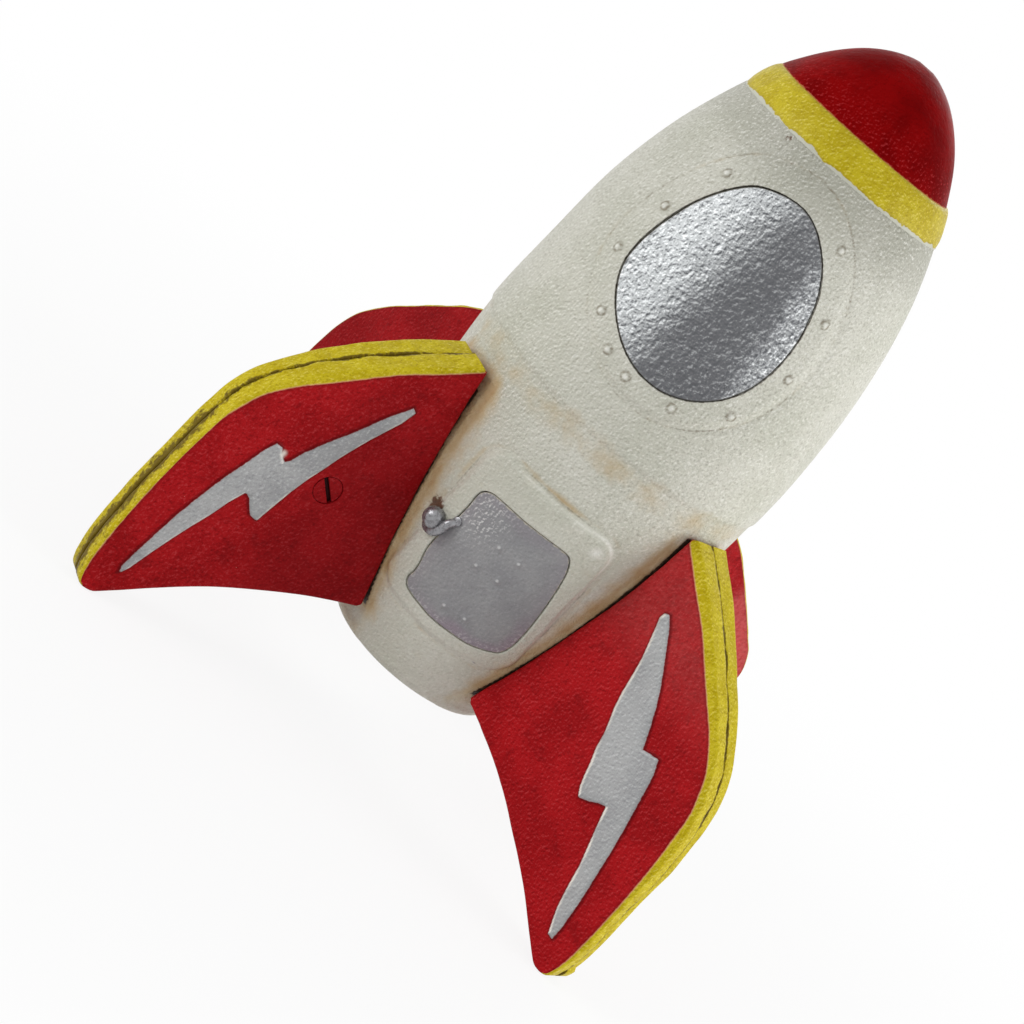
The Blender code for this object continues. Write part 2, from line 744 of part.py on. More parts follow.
def front_features():
    """The window's ring and opening, and the hatch's frame, opening and hinge holes.

    The frame stops short of the two front fins, however close they stand.
    """
    reach = BELLY_RADIUS * 0.4
    beside = [
        ("DIFFERENCE", moved(pad_patch(GAP), Matrix.Rotation(FIN_PLACES[place], 4, "Z")))
        for place in ("front_left", "front_right")
    ]
    ring = combine(
        "ring",
        window_band(-SHELL_WALL / 2, RING_RISE),
        ("INTERSECT", window_prism(RING_WIDTH)),
    )
    frame = combine(
        "frame",
        hatch_band(-SHELL_WALL / 2, FRAME_RISE),
        ("INTERSECT", hatch_prism(frame_corners(), -reach, reach)),
        *beside,
    )
    return [
        ("UNION", ring),
        ("DIFFERENCE", window_prism(GAP)),
        ("UNION", frame),
        ("DIFFERENCE", hatch_prism(hatch_corners(HATCH_GAP), -reach, reach)),
        ("DIFFERENCE", along_hinge(HINGE_PIN_RADIUS + GAP, -GAP, -GAP)),
    ]


def window_band(inner, outer):
    low = WINDOW_HEIGHT - WINDOW_DROP - RING_WIDTH - OVERLAP
    high = WINDOW_HEIGHT + WINDOW_RISE + RING_WIDTH + OVERLAP
    return band(low, high, inner, outer)


def hatch_band(inner, outer):
    low = HATCH_HEIGHT - HATCH_DOWN - FRAME_BOTTOM - OVERLAP
    high = HATCH_HEIGHT + HATCH_UP + FRAME_TOP + OVERLAP
    return band(low, high, inner, outer)


def build_window():
    """The silver window: a domed face through the shell, hollow behind, with a flange inside."""
    behind = -SHELL_WALL - 2 * GAP
    dome = combine(
        "dome", window_band(behind - OVERLAP, WINDOW_DOME), ("INTERSECT", window_prism(-GAP))
    )
    dome = bevelled(dome, 0.0007, 60.0, 2)
    flange = combine(
        "flange",
        window_band(behind - WINDOW_SKIN, behind),
        ("INTERSECT", window_prism(WINDOW_FLANGE)),
    )
    hollow = combine(
        "hollow",
        window_band(behind - 2 * WINDOW_SKIN, -WINDOW_SKIN),
        ("INTERSECT", window_prism(-GAP - WINDOW_SKIN)),
    )
    mesh = combine("window", dome, ("UNION", flange), ("DIFFERENCE", hollow))
    return part("window_dome", mesh, SILVER_PAINT)


def build_hatch():
    """The door leaf with its hinge barrel, turning on a pin held by the frame."""
    reach = BELLY_RADIUS * 0.4
    leaf = combine(
        "leaf",
        hatch_band(HATCH_PROUD - HATCH_THICKNESS, HATCH_PROUD),
        ("INTERSECT", hatch_prism(hatch_corners(0.0), -reach, reach)),
    )
    leaf = bevelled(leaf, 0.0006, 60.0, 2)
    ends = HINGE_PIN_OVERRUN + HATCH_CORNER
    mesh = combine(
        "hatch",
        leaf,
        ("UNION", along_hinge(HINGE_BARREL_RADIUS, ends, ends)),
        ("DIFFERENCE", along_hinge(HINGE_PIN_RADIUS + HINGE_RUNNING_GAP, -GAP, -GAP)),
        ("DIFFERENCE", on_leaf(cylinder(HANDLE_SHANK_RADIUS + GAP, -2 * HATCH_THICKNESS, OVERLAP, 12))),
    )
    hatch = part("hatch_door", mesh, GREY_PAINT)
    part("hinge_pin", along_hinge(HINGE_PIN_RADIUS), BARE_STEEL)
    return hatch


def surface_out(x, up):
    """How far the fuselage's surface lies out of the hatch plane at a hatch point."""
    out = 0.0
    for _ in range(4):
        point = hatch_point(x, up, out)
        miss = outer_radius(point.z) - math.hypot(point.x, point.y)
        out += miss / math.cos(HATCH_SLOPE)
    return out


def surface_matrix(x, up):
    """Origin on the fuselage's surface at a hatch point, local z straight out of it."""
    origin = hatch_point(x, up, surface_out(x, up))
    across = Vector((-origin.y, origin.x, 0)).normalized()
    level = Vector((origin.x, origin.y, 0)).normalized()
    out = level * math.cos(HATCH_SLOPE) + Vector((0, 0, -math.sin(HATCH_SLOPE)))
    return frame_matrix(origin, across, out.cross(across), out)


def on_leaf(mesh):
    """A turned piece about local Z, carried to the handle's fixing with z = 0 on the leaf's face."""
    matrix = surface_matrix(HANDLE_INSIDE_EDGE - HATCH_HALF_WIDTH, HANDLE_HEIGHT + HANDLE_INSIDE_EDGE)
    return moved(mesh, matrix @ Matrix.Translation((0, 0, HATCH_PROUD)))


def build_handle():
    """A cast ball on a short curved arm, riveted through the leaf and lapping over the frame."""
    root_x, root_up = HANDLE_INSIDE_EDGE - HATCH_HALF_WIDTH, HANDLE_HEIGHT + HANDLE_INSIDE_EDGE
    ball_x = -HATCH_HALF_WIDTH - HANDLE_BEYOND_EDGE
    root = surface_matrix(root_x, root_up)
    ball_clear = FRAME_RISE + 2 * GAP + HANDLE_BALL_RADIUS
    ball_place = surface_matrix(ball_x, HANDLE_HEIGHT) @ Vector((0, 0, ball_clear))
    foot = HATCH_PROUD + GAP + HANDLE_ARM_RADIUS
    rise = root @ Vector((0, 0, foot + HANDLE_ARM_RADIUS))
    route = [root @ Vector((0, 0, foot)), rise.lerp(ball_place, 0.3), rise.lerp(ball_place, 0.65), ball_place]
    curve = bpy.data.curves.new("arm", "CURVE")
    curve.dimensions = "3D"
    curve.bevel_depth = HANDLE_ARM_RADIUS
    curve.bevel_resolution = 1
    curve.use_fill_caps = True
    curve.resolution_u = 2
    spline = curve.splines.new("BEZIER")
    spline.bezier_points.add(len(route) - 1)
    for point, place in zip(spline.bezier_points, route):
        point.co = place
        point.handle_left_type = "AUTO"
        point.handle_right_type = "AUTO"
    arm_curve = helper("arm", curve)
    bpy.context.view_layer.update()
    arm = evaluated_mesh(arm_curve)
    bpy.data.objects.remove(arm_curve)
    shape = bmesh.new()
    bmesh.ops.create_uvsphere(shape, u_segments=12, v_segments=8, radius=HANDLE_BALL_RADIUS)
    ball = bpy.data.meshes.new("ball")
    shape.to_mesh(ball)
    shape.free()
    ball.transform(Matrix.Translation(ball_place))
    tail = -HATCH_THICKNESS - GAP
    foot_disc = on_leaf(cylinder(HANDLE_ARM_RADIUS * 1.5, GAP, 2 * HANDLE_ARM_RADIUS, 16))
    shank = on_leaf(cylinder(HANDLE_SHANK_RADIUS, tail - OVERLAP / 2, HANDLE_ARM_RADIUS, 12))
    spread = on_leaf(cylinder(2 * HANDLE_SHANK_RADIUS, tail - OVERLAP, tail, 12))
    mesh = combine("handle", arm, ("UNION", ball), ("UNION", foot_disc), ("UNION", shank), ("UNION", spread))
    return part("door_handle", mesh, SILVER_PAINT)


def build_nose():
    """The red cap, with a spigot that drops into the collar and a boss for the tie rod."""
    seat = COLLAR_TOP + GAP
    spigot = crown_radius(COLLAR_TOP) - SPIGOT_STEP - GAP
    spigot_low = COLLAR_TOP - SPIGOT_HEIGHT
    inside = spigot - NOSE_WALL
    hole = ROD_RADIUS + GAP
    hole_top = COLLAR_TOP + ROD_IN_NOSE
    profile = [(0.0, NOSE_TOP)]
    for i in range(1, 9):
        angle = math.pi / 2 * i / 8
        z = seat + (NOSE_TOP - seat) * math.cos(angle)
        profile.append((crown_radius(z) - NOSE_SET_BACK, z))
    profile += [(spigot, seat), (spigot, spigot_low), (inside, spigot_low)]
    profile += [(inside, seat), (NOSE_BOSS_RADIUS * 1.5, hole_top), (NOSE_BOSS_RADIUS, hole_top - 0.001)]
    profile += [(NOSE_BOSS_RADIUS, spigot_low), (hole, spigot_low), (hole, hole_top), (0.0, hole_top)]
    return part("nose_cap", revolved(profile), RED_PAINT)


def build_collar():
    bore = crown_radius(COLLAR_TOP) - SPIGOT_STEP
    skirt = shell_radius(COLLAR_BOTTOM - GAP) - SPIGOT_STEP + GAP
    skirt_top = COLLAR_BOTTOM + SPIGOT_HEIGHT
    zs = heights(COLLAR_TOP - COLLAR_TOP_ROUND, COLLAR_BOTTOM + COLLAR_LOW_ROUND, 3)
    profile = [(bore, COLLAR_TOP), (crown_radius(COLLAR_TOP) - COLLAR_TOP_ROUND, COLLAR_TOP)]
    profile += [(crown_radius(z), z) for z in zs]
    profile += [(crown_radius(COLLAR_BOTTOM) - COLLAR_LOW_ROUND, COLLAR_BOTTOM)]
    profile += [(skirt, COLLAR_BOTTOM), (skirt, skirt_top), (bore, skirt_top)]
    return part("nose_collar", revolved(profile), YELLOW_PAINT)


def build_base():
    """The plate that closes the shell, with the tie rod's washer and head under it."""
    rebate = outer_radius(SHELL_BOTTOM) - RIM_ROUND
    edge, spigot = rebate - GAP, rebate - PLATE_LEDGE - GAP
    top = SHELL_BOTTOM + PLATE_THICKNESS - GAP
    hole = ROD_RADIUS + GAP
    plate = [(hole, top + PLATE_SPIGOT), (spigot, top + PLATE_SPIGOT), (spigot, top), (edge, top)]
    plate += [(edge, SHELL_BOTTOM), (hole, SHELL_BOTTOM)]
    part("base_plate", revolved(plate), IVORY_PAINT)
    under = SHELL_BOTTOM - GAP
    washer = [(hole, under), (WASHER_RADIUS, under)]
    washer += [(WASHER_RADIUS, under - WASHER_THICKNESS), (hole, under - WASHER_THICKNESS)]
    part("tie_rod_washer", revolved(washer, 24), BARE_STEEL)
    head_top = under - WASHER_THICKNESS - GAP
    head_low = head_top - ROD_HEAD_HEIGHT
    rod_top = COLLAR_TOP + ROD_IN_NOSE - GAP
    rod = [(0.0, rod_top), (ROD_RADIUS * 0.7, rod_top), (ROD_RADIUS, rod_top - ROD_RADIUS * 0.5)]
    rod += [(ROD_RADIUS, head_top), (ROD_HEAD_RADIUS, head_top), (ROD_HEAD_RADIUS, head_low + 0.0006)]
    rod += [(ROD_HEAD_RADIUS - 0.0006, head_low), (0.0, head_low)]
    slot = box(
        (-2 * ROD_HEAD_RADIUS, -SCREW_SLOT_WIDTH / 2, head_low - OVERLAP),
        (2 * ROD_HEAD_RADIUS, SCREW_SLOT_WIDTH / 2, head_low + SCREW_SLOT_DEPTH),
    )
    part("tie_rod", combine("rod", revolved(rod, 24), ("DIFFERENCE", slot)), BARE_STEEL)


def build_fins():
    halves = {"head_half": fin_half(1), "threaded_half": fin_half(-1)}
    screw = fin_screw_mesh()
    for place, angle in FIN_PLACES.items():
        for kind, mesh in halves.items():
            half = part(f"fin_{place}_{kind}", mesh.copy(), RED_PAINT)
            half.rotation_euler.z = angle
        piece = part(f"fin_{place}_screw", screw.copy(), RED_PAINT)
        piece.rotation_euler.z = angle


def hang_on_hinge(pieces):
    """Parents the hatch's moving pieces to an empty on the hinge axis."""
    low, high = hinge_line()
    hinge = bpy.data.objects.new("hatch_hinge_axis", None)
    parts.objects.link(hinge)
    hinge.empty_display_size = 0.01
    hinge.matrix_world = Matrix.Translation((low + high) / 2)
    bpy.context.view_layer.update()
    for piece in pieces:
        piece.parent = hinge
        piece.matrix_parent_inverse = hinge.matrix_world.inverted()


def centre_footprint():
    """Moves the whole rocket so that the middle of the ground it covers is at the origin."""
    bpy.context.view_layer.update()
    points = [
        piece.matrix_world @ vertex.co
        for piece in parts.objects
        if piece.type == "MESH"
        for vertex in piece.data.vertices
    ]
    for axis in (0, 1):
        places = [point[axis] for point in points]
        middle = (min(places) + max(places)) / 2
        for piece in parts.objects:
            if piece.parent is None:
                piece.location[axis] -= middle


build_nose()
build_collar()
build_body("body_front", True)
build_body("body_rear", False)
build_window()
hatch_leaf = build_hatch()
hatch_handle = build_handle()
hang_on_hinge([hatch_leaf, hatch_handle])
build_base()
build_fins()
centre_footprint()
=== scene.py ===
import math

import bpy
import numpy as np
from mathutils import Matrix, Vector


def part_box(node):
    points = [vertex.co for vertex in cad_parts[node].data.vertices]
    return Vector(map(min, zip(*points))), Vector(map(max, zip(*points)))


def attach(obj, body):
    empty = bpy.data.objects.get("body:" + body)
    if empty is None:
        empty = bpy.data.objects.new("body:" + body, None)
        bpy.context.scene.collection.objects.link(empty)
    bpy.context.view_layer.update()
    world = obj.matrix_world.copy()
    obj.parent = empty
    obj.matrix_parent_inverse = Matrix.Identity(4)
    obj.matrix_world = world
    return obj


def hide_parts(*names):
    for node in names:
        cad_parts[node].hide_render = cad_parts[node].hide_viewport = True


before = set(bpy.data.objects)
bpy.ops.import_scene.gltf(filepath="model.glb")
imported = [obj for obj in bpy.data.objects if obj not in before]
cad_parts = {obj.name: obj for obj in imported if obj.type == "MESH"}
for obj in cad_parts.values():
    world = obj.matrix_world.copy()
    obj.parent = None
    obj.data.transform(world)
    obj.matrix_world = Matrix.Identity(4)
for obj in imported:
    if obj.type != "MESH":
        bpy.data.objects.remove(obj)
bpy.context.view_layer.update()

# Everything below is shaped in millimetres about the rocket's own axis, then carried to the frame.
MM = 0.001
low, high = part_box("nose_cap")
AXIS = np.array([(low[0] + high[0]) / 2, (low[1] + high[1]) / 2, 0.0])

# The fuselage: a belly with a dome above it and a long arc below it, down to a rounded heel.
BELLY_R, BELLY_Z, NOSE_TOP = 45.8, 122.0, 228.0
LOWER_ARC, HEEL_R = 258.0, 4.0
SHELL_LOW = 22.6
HEEL = SHELL_LOW + HEEL_R
NECK_IN = 0.9
BELT_Z, BELT_STEP = 112.3, 0.6
COLLAR_LOW, COLLAR_TOP = 196.4, 205.4
SEAM = 0.15

# Walls of the pieces that are shaped as sheets.
SHELL_WALL, WINDOW_WALL, LEAF_WALL, SCREW_WALL = 4.0, 3.6, 2.5, 2.4

# The ends of the shell's sheet, the rounding of its edges, and the gaps round what sits in it.
SHEET_LOW, SHEET_HIGH = 18.8, 196.28
NECK_FILLET, DOME_FILLET, BODY_FILLET = 0.12, 0.15, 0.4
WINDOW_GAP, HATCH_GAP = 0.05, 0.08

WINDOW_Z, WINDOW_TURN = 156.0, math.radians(-5.5)
RING_LINE = 7.6  # the scored line round the window, measured out from the glass
HATCH_Z, HATCH_SLOPE, HATCH_TOP = 63.5, math.radians(13.03), 100

FIN_ANGLES = {
    "front_left": math.radians(-145),
    "front_right": math.radians(-35),
    "rear_right": math.radians(37),
    "rear_left": math.radians(139),
}
FIN_ROOT_HALF, FIN_TIP_HALF, FIN_REACH = 8.7, 5.0, 99.5
SCREW_X, SCREW_Z, SCREW_R = 59.5, 55.0, 3.98

ROUND_R = 45.0  # turns an angle round the shell into a distance
FAR = 99.0  # stands in for a distance to something on the other side of the rocket
SHARP = math.radians(60)

# ---- Small numeric helpers ----


def smooth(x):
    x = np.clip(x, 0.0, 1.0)
    return x * x * (3 - 2 * x)


def bell(x, y=0):
    return np.exp(-(x**2) - y**2)


def fade(x, reach):
    """1 up to x = 0, dying away beyond it."""
    return np.exp(-np.maximum(x, 0) / reach)


def wobble(p, size, seed, octaves=2):
    """Smooth random field of about unit amplitude; features are roughly size mm across."""
    rng = np.random.default_rng(seed)
    total = np.zeros(p.shape[:-1])
    weight = 0.0
    for octave in range(octaves):
        for _ in range(7):
            way = rng.normal(size=3)
            way *= 2 * math.pi / size * 2**octave * rng.uniform(0.35, 0.75) / np.linalg.norm(way)
            total += 0.5**octave * np.sin(p @ way + rng.uniform(0, 2 * math.pi))
        weight += 0.5**octave
    return total / (weight * 2.6)


def flat(x, z):
    return np.stack([x, 0 * x, z], -1)


def wrap(r, turn, z):
    """Points at an angle round the axis, from the front toward +x."""
    return np.stack([r * np.sin(turn), -r * np.cos(turn), z], -1)


def swing(x, y, z, angle):
    """Points turned about the axis."""
    c, s = math.cos(angle), math.sin(angle)
    return np.stack([x * c - y * s, x * s + y * c, z], -1)


def crown(z):
    share = (z - BELLY_Z) / (NOSE_TOP - BELLY_Z)
    return BELLY_R * np.sqrt(np.clip(1 - share**2, 0, 1))


def shell(z):
    """Radius of the plain fuselage at a height."""
    z = np.asarray(z, float)
    share = np.clip((z - BELLY_Z) / (COLLAR_LOW - BELLY_Z), 0, 1.02)
    upper = crown(np.maximum(z, BELLY_Z)) - NECK_IN * share**4
    lower = BELLY_R - (LOWER_ARC - np.sqrt(LOWER_ARC**2 - np.maximum(BELLY_Z - z, 0) ** 2))
    return np.where(z > BELLY_Z, upper, lower)


def turn_at(x, r):
    return np.arcsin(np.clip(x / r, -0.95, 0.95))


def to_outline(px, pz, outline):
    """Signed distance to a closed outline, positive inside."""
    x, z = np.ravel(px), np.ravel(pz)
    best = np.full(x.shape, 1e12)
    inside = np.zeros(x.shape, bool)
    ends = np.roll(outline, -1, axis=0)
    for (ax, az), (bx, bz) in zip(outline, ends):
        dx, dz = bx - ax, bz - az
        t = np.clip(((x - ax) * dx + (z - az) * dz) / (dx * dx + dz * dz + 1e-12), 0, 1)
        best = np.minimum(best, (x - ax - t * dx) ** 2 + (z - az - t * dz) ** 2)
        if az != bz:
            inside ^= ((az > z) != (bz > z)) & (x < dx * (z - az) / dz + ax)
    return (np.where(inside, 1, -1) * np.sqrt(best)).reshape(np.shape(px))


def to_line(px, pz, line):
    """Unsigned distance to an open polyline."""
    best = np.full(np.shape(px), 1e12)
    for (ax, az), (bx, bz) in zip(line[:-1], line[1:]):
        dx, dz = bx - ax, bz - az
        t = np.clip(((px - ax) * dx + (pz - az) * dz) / (dx * dx + dz * dz), 0, 1)
        best = np.minimum(best, (px - ax - t * dx) ** 2 + (pz - az - t * dz) ** 2)
    return np.sqrt(best)


def curve_span(a, b, c, d, steps):
    """Points from b to just before c, on a smooth curve through a, b, c and d."""
    t = (np.arange(steps) / steps)[:, None]
    return 0.5 * (2 * b + (c - a) * t + (2 * a - 5 * b + 4 * c - d) * t**2 + (3 * b - a - 3 * c + d) * t**3)


def spline(points, steps=6):
    """Points on a smooth open curve through the given ones."""
    p = np.array(points, float)
    p = np.vstack([2 * p[0] - p[1], p, 2 * p[-1] - p[-2]])
    return np.vstack([curve_span(*p[i : i + 4], steps) for i in range(len(p) - 3)] + [p[-2]])


def ring(points, steps=5):
    """Points on a smooth closed curve through the given ones."""
    p = np.array(points, float)
    return np.vstack([curve_span(*np.roll(p, 1 - i, axis=0)[:4], steps) for i in range(len(p))])


def rounded_box(left, right, bottom, top, corner, steps=6):
    points = []
    for cx, cz, start in (
        (right - corner, top - corner, 0),
        (left + corner, top - corner, 90),
        (left + corner, bottom + corner, 180),
        (right - corner, bottom + corner, 270),
    ):
        for k in range(steps + 1):
            a = math.radians(start + 90 * k / steps)
            points.append((cx + corner * math.cos(a), cz + corner * math.sin(a)))
    return np.array(points)


# ---- Mesh builders ----


def clipped_grid(us, vs, field):
    """Points and faces of the part of a grid where field is positive, cut cleanly along its zero line."""
    u, v = np.meshgrid(us, vs, indexing="ij")
    f = field(u, v)
    f = np.where(np.abs(f) < 1e-5, 1e-5, f)
    inside = f > 0
    count = int(inside.sum())
    index = np.full(u.shape, -1)
    index[inside] = np.arange(count)
    points = [np.stack([u[inside], v[inside]], -1)]
    near, far, whole = slice(None, -1), slice(1, None), slice(None)
    cut = []
    for a, b in (((near, whole), (far, whole)), ((whole, near), (whole, far))):
        crossing = inside[a] != inside[b]
        t = np.clip(f[a] / (f[a] - f[b] + 1e-12), 0.06, 0.94)[crossing]
        place = np.stack([w[a][crossing] * (1 - t) + w[b][crossing] * t for w in (u, v)], -1)
        numbers = np.full(crossing.shape, -1)
        numbers[crossing] = count + np.arange(len(place))
        count += len(place)
        points.append(place)
        cut.append(numbers)
    quarters = ((near, near), (far, near), (far, far), (near, far))
    corner_in = np.stack([inside[q] for q in quarters])
    full = corner_in.all(0)
    faces = np.stack([index[q][full] for q in quarters], -1).tolist()
    for i, j in np.argwhere(corner_in.any(0) & ~full):
        corners = ((i, j), (i + 1, j), (i + 1, j + 1), (i, j + 1))
        sides = (cut[0][i, j], cut[1][i + 1, j], cut[0][i, j + 1], cut[1][i, j])
        face = []
        for k in range(4):
            here, there = corners[k], corners[(k + 1) % 4]
            if inside[here]:
                face.append(int(index[here]))
            if inside[here] != inside[there]:
                face.append(int(sides[k]))
        if len(face) >= 3:
            faces.append(face)
    return np.vstack(points), faces


def border_edges(faces, count):
    """Directed edges that belong to one face only."""
    edges = np.array([edge for face in faces for edge in zip(face, face[1:] + face[:1])])
    key = edges.min(1) * count + edges.max(1)
    _, first, times = np.unique(key, return_index=True, return_counts=True)
    return edges[first[times == 1]]


def solid_sheet(us, vs, field, place, thickness, fillet, seam=0.3, middle=(0.55,)):
    """A closed solid from a clipped sheet: outer face, rounded rim and inner face.

    place(u, v, drop) gives points that far below the outer face. thickness and fillet are numbers or
    functions of u and v. Returns points, faces and a table of (u, v, drop) for every point.
    """
    uv, faces = clipped_grid(us, vs, field)
    n = len(uv)
    edges = border_edges(faces, n)
    used = np.unique(edges)
    b = uv[used]
    e = 0.02
    gu = (field(b[:, 0] + e, b[:, 1]) - field(b[:, 0] - e, b[:, 1])) / (2 * e)
    gv = (field(b[:, 0], b[:, 1] + e) - field(b[:, 0], b[:, 1] - e)) / (2 * e)
    size = np.maximum(np.hypot(gu, gv), 1e-6)
    out = -np.stack([gu / size, gv / size], -1)

    def number(value, spots):
        return value(spots[:, 0], spots[:, 1]) if callable(value) else np.full(len(spots), float(value))

    f = number(fillet, b)
    # Each ring round the rim: share of the fillet outward and down, lift, share of the wall, draw-in.
    rings = [(math.sin(a), 1 - math.cos(a), 0, 0, 0) for a in map(math.radians, (25, 50, 75, 90))]
    rings += [(1, 0, 0, share, 0) for share in middle]
    rings += [(1, 0, -seam, 1, 0), (1, 0, -0.3 * seam, 1, 0.6 * seam)]
    rows = [np.column_stack([uv, np.zeros(n)]), np.column_stack([uv, number(thickness, uv)])]
    for outward, down, lift, share, draw in rings:
        spot = b + out * (f * outward)[:, None]
        drop = down * f + lift + share * number(thickness, spot)
        if draw:
            spot = b + out * np.maximum(f - draw, 0)[:, None]
        rows.append(np.column_stack([spot, drop]))
    table = np.vstack(rows)
    solid = faces + [[i + n for i in reversed(face)] for face in faces]
    place_of = np.full(n, -1)
    place_of[used] = np.arange(len(used))
    levels = [edges] + [2 * n + k * len(used) + place_of[edges] for k in range(len(rings))] + [edges + n]
    for top, below in zip(levels[:-1], levels[1:]):
        solid += np.stack([top[:, 1], top[:, 0], below[:, 0], below[:, 1]], -1).tolist()
    return place(*table.T), solid, table


def turned(profile, steps):
    """A closed solid from an axis-to-axis or looped profile of (radius, height), wrapped about the axis."""
    angles = np.arange(steps) * 2 * math.pi / steps
    points, rows, faces = [], [], []
    for r, z in profile:
        if r < 1e-6:
            rows.append([len(points)] * steps)
            points.append((0, 0, z))
        else:
            rows.append(list(range(len(points), len(points) + steps)))
            points += [(r * math.sin(a), -r * math.cos(a), z) for a in angles]
    if profile[0][0] > 1e-6:
        rows.append(rows[0])
    for top, bottom in zip(rows[:-1], rows[1:]):
        for k in range(steps):
            m = (k + 1) % steps
            face = [top[k], bottom[k], bottom[m], top[m]]
            faces.append([face[i] for i in range(4) if face[i] != face[i - 1]])
    return np.array(points, float), faces


def swept(route, radius, steps):
    """A round bar along a route, with domed ends. radius(t) gives its size."""
    count = len(route)
    along = np.gradient(route, axis=0)
    along = along / np.linalg.norm(along, axis=1)[:, None]
    points, faces = [], []
    side = np.array([0.3, 0.2, 1.0])
    for i in range(count):
        side = side - along[i] * (side @ along[i])
        side = side / np.linalg.norm(side)
        up = np.cross(along[i], side)
        for k in range(steps):
            a = 2 * math.pi * k / steps
            points.append(route[i] + radius(i / (count - 1)) * (math.cos(a) * side + math.sin(a) * up))
    for i in range(count - 1):
        for k in range(steps):
            m = (k + 1) % steps
            faces.append([i * steps + k, i * steps + m, (i + 1) * steps + m, (i + 1) * steps + k])
    for i, way in ((0, -1), (count - 1, 1)):
        tip = len(points)
        points.append(route[i] + way * along[i] * radius(i / (count - 1)) * 0.4)
        for k in range(steps):
            a, c = i * steps + k, i * steps + (k + 1) % steps
            faces.append([a, c, tip] if way > 0 else [c, a, tip])
    return np.array(points), faces


def joined(*meshes):
    points, faces, start = [], [], 0
    for p, f in meshes:
        points.append(p)
        faces += [[i + start for i in face] for face in f]
        start += len(p)
    return np.vstack(points), faces


def piece(name, node, points, faces, material, slot, body="rocket", **attributes):
    """A mesh object in the frame, from points in millimetres about the rocket's axis."""
    mesh = bpy.data.meshes.new(name)
    mesh.from_pydata(((points + AXIS / MM) * MM).tolist(), [], faces)
    mesh.validate()
    for key, values in attributes.items():
        layer = mesh.attributes.new(key, "FLOAT", "POINT")
        layer.data.foreach_set("value", np.asarray(values, np.float32))
    mesh.shade_smooth()
    mesh.set_sharp_from_angle(angle=SHARP)
    mesh.materials.append(material)
    obj = bpy.data.objects.new(name, mesh)
    bpy.context.scene.collection.objects.link(obj)
    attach(obj, body)
    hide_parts(node)


# ---- Materials ----

IVORY_LOW, IVORY_HIGH = (198, 198, 184), (210, 209, 197)
RED_DEEP, RED_BRIGHT = (154, 12, 18), (174, 20, 26)
YELLOW_DEEP, YELLOW_BRIGHT = (188, 168, 18), (204, 186, 36)
SILVER_LOW, SILVER_HIGH = (158, 159, 160), (174, 175, 175)


def srgb(r, g, b):
    """Linear colour from 0-255 display values."""
    return tuple((c / 3294.6 if c <= 10 else ((c / 255 + 0.055) / 1.055) ** 2.4) for c in (r, g, b)) + (1.0,)


def add_node(tree, kind, inputs, **settings):
    """A new shader node. inputs gives values, sockets or attribute names, by the input's name or number."""
    node = tree.nodes.new("ShaderNode" + kind)
    for key, value in settings.items():
        setattr(node, key, value)
    for key, value in inputs.items():
        put(tree, node.inputs[key], value)
    return node


def put(tree, socket, value):
    if isinstance(value, str):
        value = add_node(tree, "Attribute", {}, attribute_name=value).outputs["Fac"]
    if isinstance(value, bpy.types.NodeSocket):
        tree.links.new(value, socket)
    else:
        socket.default_value = value


